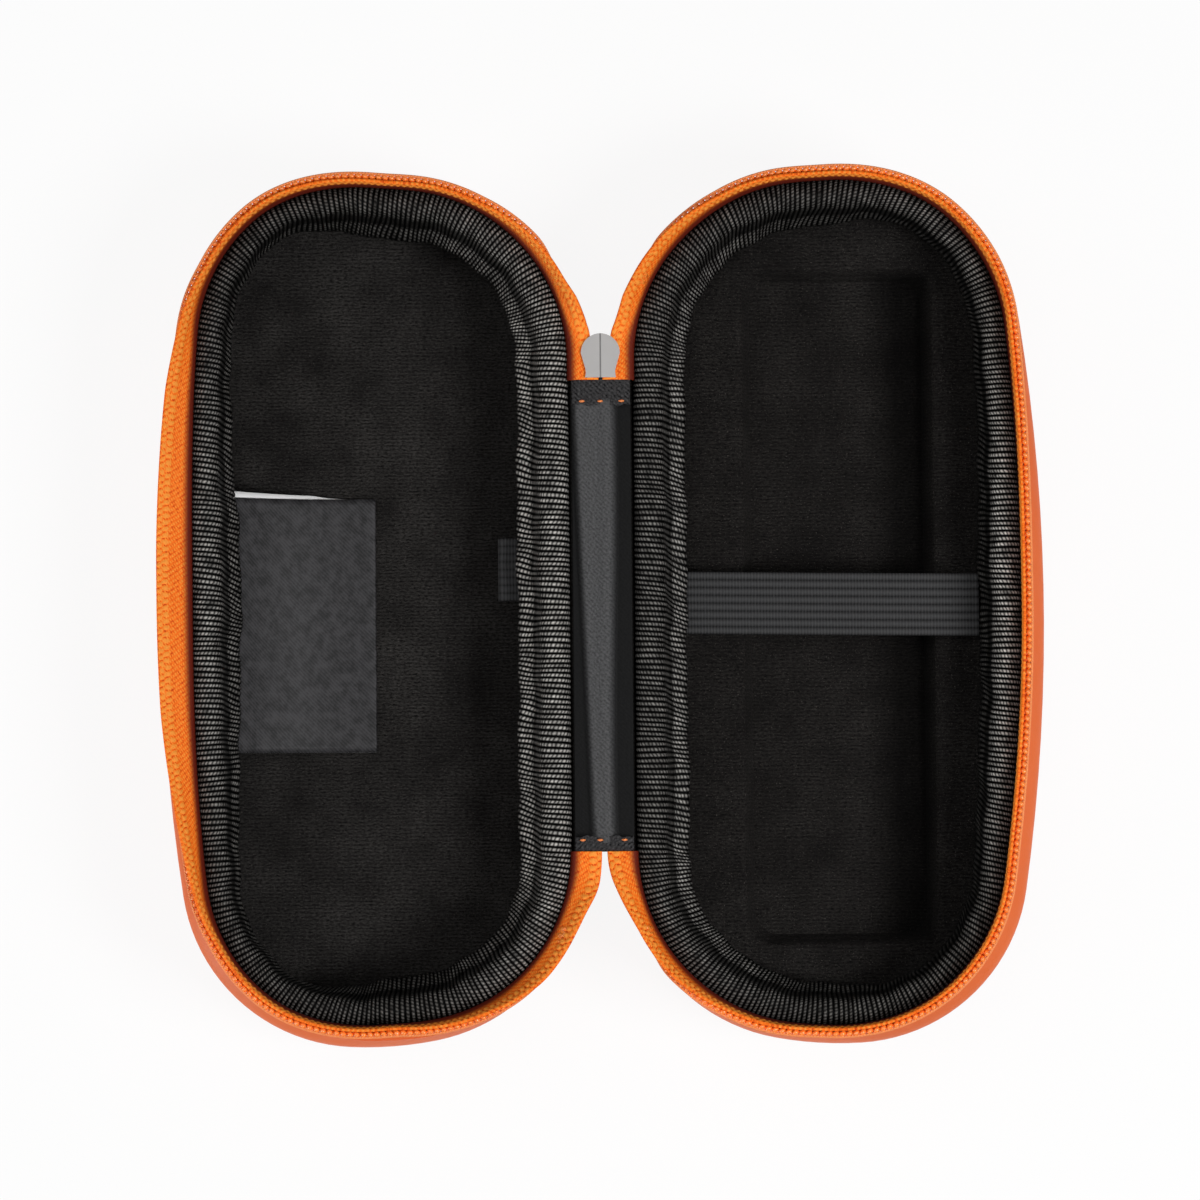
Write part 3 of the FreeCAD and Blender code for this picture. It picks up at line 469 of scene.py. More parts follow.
def label_satin():
    """Damask-woven polyester: a tight dark face with faint threads, white on the back."""
    material, add = new_material("woven_label_satin")
    place = add("UVMap", uv_map="weave")
    threads = add("TexWave", {"Vector": place, "Scale": wave_scale(LABEL_PITCH), "Distortion": 0.8},
                  bands_direction="DIAGONAL")
    fuzz = add("TexNoise", {
        "Vector": place, "Scale": per_metre(LABEL_MOTTLE), "Detail": 6.0, "Roughness": 0.7})
    weave = add("Math", {0: threads, 1: THREAD_SHARE, 2: fuzz}, operation="MULTIPLY_ADD")
    mottle = add("MapRange", {"Value": weave, "From Min": 0.44, "From Max": 0.7})
    face = add("Mix", {"Factor": mottle, 6: LABEL_FACE, 7: LABEL_THREAD})
    back = add("Attribute", attribute_name="back")
    both = add("Mix", {"Factor": back, 6: face, 7: LABEL_BACK})
    return finished(material, {"Base Color": both, "Roughness": 0.55, "Specular IOR Level": 0.2},
                    weave, depth=0.08)


def between_stops(places, stops):
    """A value at places, straight between the stops that give it."""
    return np.interp(places, list(stops), list(stops.values()))


def label():
    """Two plies that fall from the binding to the lid's floor, z = rest + fall * (1 - share) ^ drop,
    joined by a fold at the free end. The back ply is sheared along Y, most at its sewn end."""
    low, high = node_box("label")
    share = np.linspace(0, 1, PLY_POINTS)
    gap = 2 * LABEL_WALL
    rest = low[2] + LABEL_WALL / 2
    fall = high[2] - LABEL_WALL / 2 - rest - gap
    reach = high[0] - low[0] - gap / 2 - LABEL_WALL / 2
    ply = as_points(low[0] + share * reach, rest + fall * (1 - share) ** LABEL_DROP)
    turn = np.linspace(0.5, -0.5, LABEL_FOLD_POINTS)[1:-1] * np.pi
    fold = ply[-1] + (0, gap / 2) + gap / 2 * as_points(np.cos(turn), np.sin(turn))
    line = np.concatenate((ply + (0, gap), fold, ply[::-1]))
    outline = band(line, LABEL_WALL)
    run = run_length(line)
    askew = LABEL_ASKEW * between_stops(run / run[-1], ASKEW_ALONG)
    y = np.linspace(low[1], high[1], LABEL_ROWS)[:, None]
    ripple = LABEL_RIPPLE * np.sin(y / RIPPLE_RUN) * np.sin(np.pi * np.minimum(run / run[-1] * 2, 1))
    ripple = np.concatenate((ripple, ripple[:, ::-1]), axis=1)
    grid = as_points(outline[:, 0], y + np.append(askew, askew[::-1]), outline[:, 1] + ripple)
    weave = uv_grid(y[:, 0], there_and_back(run))
    back = np.repeat((0, 1), len(line))
    piece = surface("blank_folded_label", grid, weave, marks={"back": back})
    return piece


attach(fit(label(), label_satin(), "woven_label", "label"), "lid")


# Zip tapes.
# An orange polyester twill tape is sewn upright inside each rim and bends outwards above it: flat
# beside the spine, nearly upright round the base, and flared wide along the lid's outer side.

SEAM_GAP = 12.2
SEAM_WIDTH = 75.0
SEAM_LENGTH = 164.4
SPINE_CORNER = 34.0
CORNER_SPREAD = 8.0
CROWN_OFFSET = 4.5
END_ARC = 70.0
SIDE_ARC = 380.0
RIM = node_box("base_shell_cover")[1][2]
HALVES = {"base": 1, "lid": -1}


class Seam:
    """The seam outline of the base half, walked clockwise from the middle of its spine side.

    A straight spine side, then tangent arcs: spine corner, crowned end, outer corner, crowned
    side, and the same back again. Each arc is a centre, a radius and the angle where it starts."""

    spine_x = SEAM_GAP / 2
    outer_corner = SEAM_WIDTH - SPINE_CORNER - CORNER_SPREAD
    end = np.array((spine_x + SPINE_CORNER + CROWN_OFFSET, SEAM_LENGTH / 2 - END_ARC))
    side = np.array((spine_x + SEAM_WIDTH - SIDE_ARC, 0))
    spine = end + (-CROWN_OFFSET, math.sqrt((END_ARC - SPINE_CORNER) ** 2 - CROWN_OFFSET ** 2))
    apart = end - side
    span = np.linalg.norm(apart)
    along = ((SIDE_ARC - outer_corner) ** 2 - (END_ARC - outer_corner) ** 2 + span ** 2) / (2 * span)
    aside = math.sqrt((SIDE_ARC - outer_corner) ** 2 - along ** 2)
    outer = side + (along * apart + aside * np.array((-apart[1], apart[0]))) / span
    spine_turn = math.atan2(*(spine - end)[::-1])
    outer_turn = math.atan2(*(outer - end)[::-1])
    side_turn = math.atan2(*(outer - side)[::-1])
    turns = np.array((math.pi, spine_turn, outer_turn, side_turn,
                      -side_turn, -outer_turn, -spine_turn, -math.pi))
    radii = np.array((SPINE_CORNER, END_ARC, outer_corner, SIDE_ARC, outer_corner, END_ARC, SPINE_CORNER))
    flip = np.array((1, -1))
    centres = np.array((spine, end, outer, side, outer * flip, end * flip, spine * flip))
    straight = spine[1]
    starts = straight + np.concatenate(([0], np.cumsum(-np.diff(turns) * radii)))
    total = starts[-1] + straight

    def at(self, walk):
        """Points on the seam and outward unit normals at walked distances, any array of them."""
        walk = np.mod(walk, self.total)
        arc = np.clip(np.searchsorted(self.starts, walk, side="right") - 1, 0, len(self.radii) - 1)
        angle = self.turns[arc] - (walk - self.starts[arc]) / self.radii[arc]
        level = (walk < self.straight) | (walk > self.starts[-1])
        angle = np.where(level, math.pi, angle)
        normal = as_points(np.cos(angle), np.sin(angle))
        point = self.centres[arc] + self.radii[arc][..., None] * normal
        up_the_side = np.where(walk < self.straight, walk, walk - self.total)
        beside = as_points(self.spine_x, up_the_side)
        return np.where(level[..., None], beside, point), normal

    def from_spine(self, walk):
        """The distance from the middle of the spine side, the shorter way round."""
        walk = np.mod(walk, self.total)
        return np.minimum(walk, self.total - walk)


def smooth_step(value, start, end):
    """0 up to the start, 1 from the end on, and 3 s^2 - 2 s^3 at each share s of the way between."""
    share = np.clip((value - start) / (end - start), 0, 1)
    return share * share * (3 - 2 * share)


seam = Seam()


def round_rim(walk, spine, spine_corner, end, outer_corner, outer_side):
    """A value round the rim, given at five places and alike at both ends of the case, with smooth
    steps between the places."""
    given = np.array((spine, spine_corner, end, outer_corner, outer_side))
    corners = (seam.starts[:3] + seam.starts[1:4]) / 2
    places = np.array((seam.straight, *corners, seam.total / 2))
    from_spine = seam.from_spine(walk)
    first = np.clip(np.searchsorted(places, from_spine, side="right") - 1, 0, len(places) - 2)
    share = smooth_step(from_spine, places[first], places[first + 1])
    return given[first] + (given[first + 1] - given[first]) * share


RIM_SHIFT = {
    "base": {"top": (0, 0, 1.0, 2.6, 1.0), "bottom": (0, 0, 0.2, 0.8, 1.0)},
    "lid": {"top": (0, 0, 0.2, 2.6, -0.8), "bottom": (0, 0, -0.6, 0.9, -0.8)},
}
TAPE_WALL = 0.5
TAPE_SEWN = 6.0
SEWN_BY_SPINE = 0.4
SEWN_FROM = 58.0
SEWN_FULL = 66.0
HOLD_DEPTH = 2.0
TAPE_FREE = 7.1
TAPE_SLACK = {"base": (0, 0, 0, 0, 0), "lid": (0, 0, 0, 0, 1.2)}
TAPE_DRAWN = {"top": {47.0: 0.3, 51.0: -1.0, 54.0: -1.0, 59.0: 0}, "bottom": {53.0: 0.2, 59.0: 0}}
BEND_START = 0.5
BEND_END = 2.9
SEWN_POINTS = (1, 0.5, 0.15)
BEND_POINTS = 6
FREE_POINTS = 15
TAPE_TOP_END = 43.9
TAPE_LOW_END = 47.9
COIL_PITCH = 1.27
COIL_SAMPLES = 6
STITCH_RISE = 0.3
STITCH_ROWS = {0.6: 0.3, 1.7: 0.55}
# How much painted shade darkens the tape between the stitch bumps.
STITCH_GAP_SHADE = 0.32
# Painted shade at the tape's root beside the binding: where it fades out on an upright and on a flat tape,
# and the lean between them.
ROOT_UPRIGHT = (3.2, 6.4)
ROOT_FLAT = (2.0, 3.5)
ROOT_LEAN = 45.0
SPINE_STATIONS = (52.5, 54.0, 56.0, 58.5, 62.0, 72.0, 84.0)
LEAN_STEP = 0.25
LEAN_BLUR = 4.5
SIDE_STATIONS = (65.0, 42.0, 12.0, -20.0, -45.0, -65.0)
TAPE_LEANS = {
    "base": {"top": (90, 90, 64, 50, 44, 39, 30, 13, 5), "side": (6, 1, -2, -2, -2, 0),
             "bottom": (88, 66, 57, 50, 42, 34, 29, 12, 4)},
    "lid": {"top": (90, 90, 70, 54, 42, 30, 23, 8, 3), "side": (10, 54, 80, 66, 34, 8),
            "bottom": (90, 90, 82, 66, 53, 47, 43, 20, 4)},
}
TWILL_PITCH = 0.85
TWILL_THREAD = 0.5
TWILL_SLANT = 32.0
TWILL_FUZZ = 0.7
WEAVE_SHARE = 0.5
# How strongly the stitch mark paints highlights on the bumps and shade between them.
STITCH_HIGHLIGHT_SHARE = 1.2
TAPE_COLOUR = "FF7412"
TAPE_DARK = "CC4202"
TAPE_PALE = "FF9C3C"
# The dark red of the painted shade at the tape's root.
TAPE_ROOT_SHADE = "5E1604"


def tape_lean(walk, half):
    """The tape's lean from upright, in radians: given at stations from each end of the spine to the
    middle of the case's end, and along the outer side, and smoothed by a bell-shaped average."""
    end = (seam.starts[1] + seam.starts[2]) / 2
    top = np.array((TAPE_TOP_END, *SPINE_STATIONS, end))
    bottom = seam.total - np.array((TAPE_LOW_END, *SPINE_STATIONS, end))
    outside = seam.total / 2 - np.array(SIDE_STATIONS)
    leans = TAPE_LEANS[half]
    even = np.arange(TAPE_TOP_END, seam.total - TAPE_LOW_END, LEAN_STEP)
    rough = np.interp(even, (*top, *outside, *bottom[::-1]),
                      (*leans["top"], *leans["side"], *leans["bottom"][::-1]))
    reach = round(LEAN_BLUR / LEAN_STEP / 2)
    bell = np.hanning(2 * reach + 3)[1:-1]
    smooth = np.convolve(np.pad(rough, reach, mode="edge"), bell / bell.sum(), mode="valid")
    return np.radians(np.interp(walk, even, smooth))


def tape_free(walk, half):
    """How far the tape stands free of the seam. By the spine it is drawn in at the slider's head and let
    out at both tabs, and it is slack along the lid's outer side."""
    from_spine = seam.from_spine(walk)
    top, bottom = [between_stops(from_spine, stops) for stops in TAPE_DRAWN.values()]
    return TAPE_FREE + round_rim(walk, *TAPE_SLACK[half]) + np.where(walk < seam.total / 2, top, bottom)


def tape_line(walk, half):
    """The middle of the tape's section at each walked distance, as (outwards, upwards) points.

    Upright from its sewn edge, which is cut short beside the spine, it turns by the lean along a
    smooth step and runs on straight."""
    lean = tape_lean(walk, half)[:, None]
    free = tape_free(walk, half)[:, None]
    full = smooth_step(seam.from_spine(walk)[:, None], SEWN_FROM, SEWN_FULL)
    depth = SEWN_BY_SPINE + (TAPE_SEWN - SEWN_BY_SPINE) * full
    sewn = -depth * SEWN_POINTS
    turning = np.linspace(BEND_START, BEND_END, BEND_POINTS, endpoint=False)
    bend = np.broadcast_to(turning, (len(walk), BEND_POINTS))
    run = BEND_END + (free - BEND_END) * np.linspace(0, 1, FREE_POINTS)
    across = np.concatenate((sewn, bend, run), axis=1)
    middles = (across[:, 1:] + across[:, :-1]) / 2
    turn = lean * smooth_step(middles, BEND_START, BEND_END)
    step = np.diff(across, axis=1)
    start = np.zeros((len(walk), 1))
    out = np.concatenate((start, np.cumsum(np.sin(turn) * step, axis=1)), axis=1) - TAPE_WALL / 2
    up = np.concatenate((start, np.cumsum(np.cos(turn) * step, axis=1)), axis=1) - depth
    return as_points(out, up), across


def held_by_sewing(outline):
    """How far the seam holds a point to the shell: not at all at the rim, fully below the hold depth."""
    return smooth_step(-outline[..., 1:], 0, HOLD_DEPTH)


def beside_seam(walk, outline, half, held=0):
    """Places (outwards, upwards) sections on the seam: point + normal * outwards, rim + upwards. The
    soft rim doesn't lie true to the shell: it bulges at the outer corners, most at the slider's end,
    less the share of the bulge that is held back."""
    point, normal = seam.at(walk)
    shifts = [round_rim(walk, *RIM_SHIFT[half][end]) for end in ("top", "bottom")]
    shift = np.where(np.mod(walk, seam.total) < seam.total / 2, *shifts)
    flat = point + normal * (outline[..., :1] + shift[..., None] * (1 - held))
    return np.concatenate((flat * (HALVES[half], 1), RIM + outline[..., 1:]), axis=-1)


def zip_tape(half):
    """The tape's line as a band, with two rows of stitch bumps over the coil on its inner face."""
    start = TAPE_TOP_END
    end = seam.total - TAPE_LOW_END
    count = round((end - start) / COIL_PITCH * COIL_SAMPLES)
    walk = np.linspace(start, end, count)
    line, across = tape_line(walk, half)
    from_edge = across[:, -1:] - across
    near, far = [np.exp(-((from_edge - row) / spread) ** 4) for row, spread in STITCH_ROWS.items()]
    turn = (np.pi * walk / COIL_PITCH)[:, None]
    bead = near * np.abs(np.sin(turn)) + far * np.abs(np.cos(turn))
    outline = band(line, TAPE_WALL, STITCH_RISE * bead)
    # The stitch mark paints highlights on the bumps and shade between them.
    stitch_highlight_mark = np.concatenate((bead - STITCH_GAP_SHADE * (near + far), 0 * bead), axis=1)
    # The root mark paints shade on the tape beside the binding, reaching higher where the tape stands
    # upright.
    leaning = smooth_step(tape_lean(walk, half), 0, math.radians(ROOT_LEAN))[:, None]
    fade, clear = [upright + (flat - upright) * leaning for upright, flat in zip(ROOT_UPRIGHT, ROOT_FLAT)]
    root_shade = 1 - smooth_step(across, fade, clear)
    root_shade_mark = np.concatenate((root_shade, 0 * root_shade), axis=1)
    walks = np.broadcast_to(walk[:, None], outline.shape[:2])
    midway = across[count // 2]
    grid = beside_seam(walks, outline, half, held_by_sewing(outline))
    piece = surface(half + "_twill_zip_tape", grid, uv_grid(walk, there_and_back(midway - midway[0])),
                    marks={"stitch": stitch_highlight_mark, "root_shade": root_shade_mark})
    return piece


def twill_tape():
    """Polyester twill: slanting ribs of paler and deeper orange with a fine thread across them, with
    painted highlights on the stitch bumps and painted shade at the root.
    """
    material, add = new_material("orange_twill_tape")
    place = add("UVMap", uv_map="weave")
    slanted = add("Mapping", {"Vector": place, "Rotation": (0, 0, math.radians(TWILL_SLANT))})
    twill = add("TexWave", {
        "Vector": slanted, "Scale": wave_scale(TWILL_PITCH), "Distortion": 0.8, "Detail Scale": 1.0},
        bands_direction="X")
    thread = add("TexWave", {"Vector": slanted, "Scale": wave_scale(TWILL_THREAD), "Distortion": 0.6},
                 bands_direction="Y")
    fuzz = add("TexNoise", {"Vector": place, "Scale": per_metre(TWILL_FUZZ), "Detail": 4.0})
    weave = add("Math", {0: twill, 1: thread}, operation="MULTIPLY")
    height = add("Math", {0: weave, 1: WEAVE_SHARE, 2: fuzz}, operation="MULTIPLY_ADD")
    # The stitch mark paints the bumps pale and the gaps darker: painted highlight and painted shade.
    stitch = add("Attribute", attribute_name="stitch")
    level = add("Math", {0: stitch, 1: STITCH_HIGHLIGHT_SHARE, 2: height}, operation="MULTIPLY_ADD")
    shade = add("ValToRGB", {"Fac": level})
    stops = shade.node.color_ramp.elements
    stops[0].position = 0.3
    stops[0].color = colour(TAPE_DARK)
    stops[1].color = colour(TAPE_PALE)
    stops.new(0.55).color = colour(TAPE_COLOUR)
    # The root mark mixes in the painted shade at the tape's root.
    root_shade = add("Attribute", attribute_name="root_shade")
    root_shaded = add("Mix", {"Factor": root_shade, 6: shade, 7: TAPE_ROOT_SHADE})
    return finished(material, {"Base Color": root_shaded, "Roughness": 0.7, "Specular IOR Level": 0.2},
                    height, depth=0.2, strength=0.4)


def bend_at_spine(piece):
    """Bakes the piece's transform into its mesh, with no tie to the spine or to a half."""
    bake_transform(piece)


twill = twill_tape()
for half in HALVES:
    tape = zip_tape(half)
    fit(tape, twill, "zip_tape", half + "_zip_tape", half + "_tape_end_top", half + "_tape_end_bottom")
    bend_at_spine(tape)


# Zip coils.
# One nylon monofilament for each half, wound into a flat helix with its heads level with the tape's
# edge, or tucked behind it where the tape leans out. A thread along its outside sews it to the tape.

COIL_START = 62.0
COIL_WIRE = 1.0
COIL_WIDTH = 2.6
COIL_SQUARENESS = 0.6
COIL_DEPTH = 0.3
COIL_TUCK = 2.2
COIL_SINK = 10.0
TURN_SAMPLES = 14
WIRE_SIDES = 6
UPWARDS = np.array((0, 0, 1.0))
COIL_COLOUR = "FF8A34"
NYLON_DRAW = 3.0
COIL_THREAD = 0.6
THREAD_DOWN = 0.5
THREAD_SUNK = 0.1
THREAD_PLY = 0.3
THREAD_COLOUR = "F08A4A"


def nylon_coil():
    """Dyed nylon monofilament: clear-bodied orange with a tight highlight."""
    material, add = new_material("orange_nylon_monofilament")
    place = add("TexCoord")
    draw = add("TexNoise", {"Vector": place, "Scale": per_metre(NYLON_DRAW), "Detail": 3.0})
    gloss = add("MapRange", {"Value": draw, "To Min": 0.16, "To Max": 0.3})
    return finished(material, {
        "Base Color": COIL_COLOUR, "Roughness": gloss, "IOR": 1.53, "Subsurface Weight": 0.15,
        "Subsurface Radius": (0.6, 0.25, 0.08), "Subsurface Scale": 0.8 * MM})


def tube(name, centre, thick, toward, sides):
    """A round tube along a line of points, as thick as is given for all or for each of them. Its rings
    start from the way they are told to, squared to the line."""
    run = unit(np.gradient(centre, axis=0))
    first = unit(toward - run * (toward * run).sum(axis=1, keepdims=True))
    second = np.cross(run, first)
    angle = np.arange(sides) * 2 * np.pi / sides
    ring = first[:, None] * np.cos(angle)[:, None] + second[:, None] * np.sin(angle)[:, None]
    grid = centre[:, None] + ring * np.reshape(thick, (-1, 1, 1)) / 2
    weave = uv_grid(run_length(centre), np.arange(sides + 1) * np.pi * np.max(thick) / sides)
    return surface(name, grid, weave)


def behind_tape(walk, half, up, out):
    """Points up the tape from its edge and out from its outer face, tucked down where it leans and
    sinking into it at the coil's ends."""
    lean = tape_lean(walk, half)
    rise = as_points(np.sin(lean), np.cos(lean))
    off = as_points(np.cos(lean), -np.sin(lean))
    tuck = COIL_TUCK * np.sin(np.maximum(lean, 0))
    from_end = seam.from_spine(walk) - COIL_START
    clear = (TAPE_WALL / 2 + out) * smooth_step(from_end, 0, COIL_SINK)
    section = tape_line(walk, half)[0][:, -1] + rise * (up - tuck)[:, None] + off * clear[:, None]
    return beside_seam(walk, section, half)


def zip_coil(half):
    """A tube round a flattened helix: with turn = 2 pi walk / pitch, the wire lies at
    middle + width / 2 * cos(turn) ^ squareness up the tape and depth / 2 * sin(turn) off its outer face."""
    turns = math.floor((seam.total - 2 * COIL_START) / COIL_PITCH)
    walk = COIL_START + np.arange(turns * TURN_SAMPLES + 1) * COIL_PITCH / TURN_SAMPLES
    turn = 2 * np.pi * walk / COIL_PITCH
    squared = np.sign(np.cos(turn)) * np.abs(np.cos(turn)) ** COIL_SQUARENESS
    up = (COIL_WIDTH - COIL_WIRE) / 2 * (squared - 1) - COIL_WIRE / 2
    out = COIL_WIRE / 2 + COIL_DEPTH / 2 * (1 + np.sin(turn))
    normal = seam.at(walk)[1]
    forward = as_points(normal[:, 1] * HALVES[half], -normal[:, 0], 0)
    return tube(half + "_nylon_zip_coil", behind_tape(walk, half, up, out), COIL_WIRE, forward, WIRE_SIDES)


def coil_thread(half):
    """A tube that runs on over the outside of the coil's turns, near their heads."""
    walk = np.arange(COIL_START, seam.total - COIL_START, COIL_PITCH / 2)
    out = np.full(len(walk), COIL_WIRE + COIL_DEPTH - THREAD_SUNK)
    line = behind_tape(walk, half, 0 * walk - THREAD_DOWN, out)
    return tube(half + "_coil_sewing_thread", line, COIL_THREAD, UPWARDS, WIRE_SIDES)


def polyester_thread():
    """Twisted polyester thread: slanting plies on a thin orange cord."""
    material, add = new_material("orange_polyester_thread")
    place = add("UVMap", uv_map="weave")
    plies = add("TexWave", {"Vector": place, "Scale": wave_scale(THREAD_PLY)}, bands_direction="DIAGONAL")
    return finished(material, {"Base Color": THREAD_COLOUR, "Roughness": 0.5},
                    plies, depth=0.08, strength=0.8)


nylon = nylon_coil()
thread = polyester_thread()
for half in HALVES:
    coil = fit(zip_coil(half), nylon, "zip_coil", half + "_zip_coil")
    bend_at_spine(coil)
    sewing = coil_thread(half)
    sewing.data.materials.append(thread)
    bend_at_spine(sewing)


# Ribbon binding.
# Black grosgrain ribbon rolled over each rim, with one leg sewn down inside. Its weft makes ribs
# square to the rim, a millimetre apart, which lean over along the leg where the ribbon was pulled.

RIB_PITCH = 1.03
RIB_STEPS = 6
RIB_HEIGHT = 0.28
RIBBON_ROUNDNESS = 0.8
RIB_PULL = 2.0
EVEN_PULL = 0.8
LONG_PULL = 0.4
LONG_PULL_WAVES = 5
SHORT_PULL = 0.3
SHORT_PULL_WAVES = 17
RIB_WOBBLE = 0.22
WOBBLE_WAVES = {31: 4, 13: 2}
ROLL_SET = 0.52
ROLL_WIDTH = (5.6, 5.4, 5.2, 4.2, 5.4)
ROLL_CENTRE = -0.2
ROLL_UNEVEN = 0.22
ROLL_WAVES = (9, 23, 41)
ROLL_POINTS = 12
ROLL_PULLED = 0.3
ROLL_EDGE = 0.15
RIBBON_SKIRT = 1.5
CREASE_DROP = 3.4
CREASE_SHARE = 0.35
LEG_POINTS = 10
LEG_BOW = 1.2
LEG_FALL = 1.6
UNDERSIDE = {22: (-0.5, -0.5), 16: (-0.8, -0.4), 7: (0, -1.0), 2: (0.7, -1.0), 0: (0.6, 0)}
UNDERSIDE_PULLED = (1, ROLL_PULLED, 0, 0, 0)
# How the painted highlight on the ribs runs down the leg.
LEG_HIGHLIGHT_SHARE = {0.1: 0.3, 0.3: 0.2, 0.5: 1.0, 0.8: 1.0, 1.0: 0.2}
LEG_REACH = {"base": (4.3, 3.8, 2.6, 0.6, 1.8), "lid": (4.3, 3.6, 3.4, 0.6, 3.2)}
LEG_DROP = (4.8, 6.5, 7.5, 8.0, 8.0)
# Painted highlight on the ribs over the roll and down the leg, at five places round the rim.
ROLL_HIGHLIGHT = {"base": (0.34, 0.3, 0.22, 0.32, 1.08), "lid": (0.82, 0.48, 0.22, 0.24, 0.64)}
LEG_HIGHLIGHT = {"base": (0.6, 0.36, 0.18, 0.12, 0.15), "lid": (1.3, 0.42, 0.15, 0.15, 0.42)}
BEAD_PITCH = 0.68
BEAD_SLANT = 20.0
RIBBON_PATCH = 2.4
RIBBON_DARK = "030303"
# Colour of the painted highlight on the ribs' crests.
RIBBON_HIGHLIGHT = "E6E2DC"
RIBBON_GLOSS = 0.02


def grosgrain():
    """Polyester grosgrain: silky black ribs with a painted highlight on their crests, in patches, beaded by
    the warp between them.
    """
    material, add = new_material("black_grosgrain")
    place = add("UVMap", uv_map="weave")
    slanted = add("Mapping", {"Vector": place, "Rotation": (0, 0, math.radians(BEAD_SLANT))})
    warp = add("TexWave", {
        "Vector": slanted, "Scale": wave_scale(BEAD_PITCH), "Distortion": 3.0, "Detail Scale": 1.5},
        bands_direction="Y")
    patch = add("TexNoise", {"Vector": place, "Scale": per_metre(RIBBON_PATCH), "Detail": 4.0})
    crest, painted_highlight = [add("Attribute", attribute_name=mark) for mark in ("crest", "painted_highlight")]
    bead = add("MapRange", {"Value": warp, "To Min": 0.12})
    patchy = add("MapRange", {
        "Value": patch, "From Min": 0.3, "From Max": 0.7, "To Min": 0.25, "To Max": 1.2})
    sharp = add("MapRange", {"Value": crest, "From Min": 0.55, "From Max": 0.98})
    beaded = add("Math", {0: sharp, 1: bead}, operation="MULTIPLY")
    # The painted highlight, set per place round the rim, in random patches.
    highlight_strength = add("Math", {0: patchy, 1: painted_highlight}, operation="MULTIPLY")
    lit = add("Math", {0: beaded, 1: highlight_strength}, operation="MULTIPLY")
    face = add("Mix", {"Factor": lit, 6: RIBBON_DARK, 7: RIBBON_HIGHLIGHT})
    return finished(material, {"Base Color": face, "Roughness": 0.4, "Specular IOR Level": RIBBON_GLOSS},
                    beaded, depth=0.1)


def binding(half):
    """A closed section carried round the seam: a half-circle roll, then a leg that drops to a crease
    and falls on to its edge, steeper at the outer side than at the spine. Ribs push the outside out
    by height * |sin(pi * walk / pitch)| ^ roundness, and the leg's points are moved on along the walk. The
    ribs carry a painted highlight, least in the crease, at both edges and at the case's ends and corners,
    and set per place round the rim. The hidden underside goes back by a few points, each moved in from a
    numbered one of the outside."""
    ribs = round(seam.total / RIB_PITCH)
    rows = ribs * RIB_STEPS
    walk = np.arange(rows)[:, None] * seam.total / rows
    reach = round_rim(walk, *LEG_REACH[half])[..., None]
    drop = round_rim(walk, *LEG_DROP)[..., None]
    side = HALVES[half]
    turns = walk / seam.total * 2 * np.pi
    waves = [np.sin(count * turns + phase * side) for phase, count in enumerate(ROLL_WAVES)]
    uneven = ROLL_UNEVEN * sum(waves) / len(waves)
    radius = (round_rim(walk, *ROLL_WIDTH) / 2 + uneven)[..., None]
    angle = np.linspace(np.pi, 0, ROLL_POINTS)
    circle = as_points(np.cos(angle), np.sin(angle))
    roll = radius * (circle + (1, 0)) + (ROLL_SET, ROLL_CENTRE)
    share = np.linspace(0, 1, LEG_POINTS + 1)[1:, None]
    inward = roll[:, -1:, :1] + reach * share ** LEG_BOW
    crease = CREASE_DROP * smooth_step(share, 0, CREASE_SHARE)
    down = ROLL_CENTRE - crease - (drop - CREASE_DROP) * share ** LEG_FALL
    leg = np.concatenate((inward, down), axis=-1)
    skirt = roll[:, :1] - (0, RIBBON_SKIRT)
    smooth = np.concatenate((skirt, roll, leg), axis=1)
    rib = np.abs(np.sin(np.pi * ribs * walk / seam.total)) ** RIBBON_ROUNDNESS
    outside = smooth + left_of(smooth) * (RIB_HEIGHT * rib)[..., None]
    under = smooth[:, list(UNDERSIDE)] + list(UNDERSIDE.values())
    section = np.concatenate((outside, under), axis=1) * (-1, 1)
    columns = section.shape[1]
    pulled = np.concatenate((np.linspace(0, ROLL_PULLED, ROLL_POINTS + 1),
                             ROLL_PULLED + (1 - ROLL_PULLED) * share[:, 0], UNDERSIDE_PULLED))
    long_pull = LONG_PULL * np.sin(LONG_PULL_WAVES * turns + side)
    short_pull = SHORT_PULL * np.sin(SHORT_PULL_WAVES * turns)
    pull = -side * RIB_PULL * (EVEN_PULL + long_pull + short_pull) * pulled
    many, few = [count * turns + shear * pulled for count, shear in WOBBLE_WAVES.items()]
    wobble = RIB_WOBBLE * np.sin(many + side) * np.sin(few)
    held = held_by_sewing(section)
    held[:, 1:-1] = 0
    grid = beside_seam(walk + pull + wobble, section, half, held)
    middle = run_length(outside[0])
    steps = np.concatenate((middle, np.linspace(middle[-1], 0, columns - len(middle) + 1)))
    hidden = np.zeros(under.shape[:2])
    crest = np.concatenate((np.broadcast_to(rib, outside.shape[:2]), hidden), axis=1)
    # Painted highlight, strongest over the top of the roll and set per place round the rim.
    over_roll = np.sqrt(np.append(0, np.sin(np.clip(angle, ROLL_EDGE, np.pi - ROLL_EDGE))))
    down_leg = between_stops(share[:, 0], LEG_HIGHLIGHT_SHARE)
    painted_highlight = np.concatenate((round_rim(walk, *ROLL_HIGHLIGHT[half]) * over_roll,
                            round_rim(walk, *LEG_HIGHLIGHT[half]) * down_leg, hidden), axis=1)
    weave = uv_grid(np.append(walk[:, 0], seam.total), steps)
    piece = surface(half + "_grosgrain_binding", grid, weave, along_closed=True,
                    marks={"crest": crest, "painted_highlight": painted_highlight})
    return piece


ribbon = grosgrain()
for half in HALVES:
    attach(fit(binding(half), ribbon, "grosgrain", half + "_binding"), half)


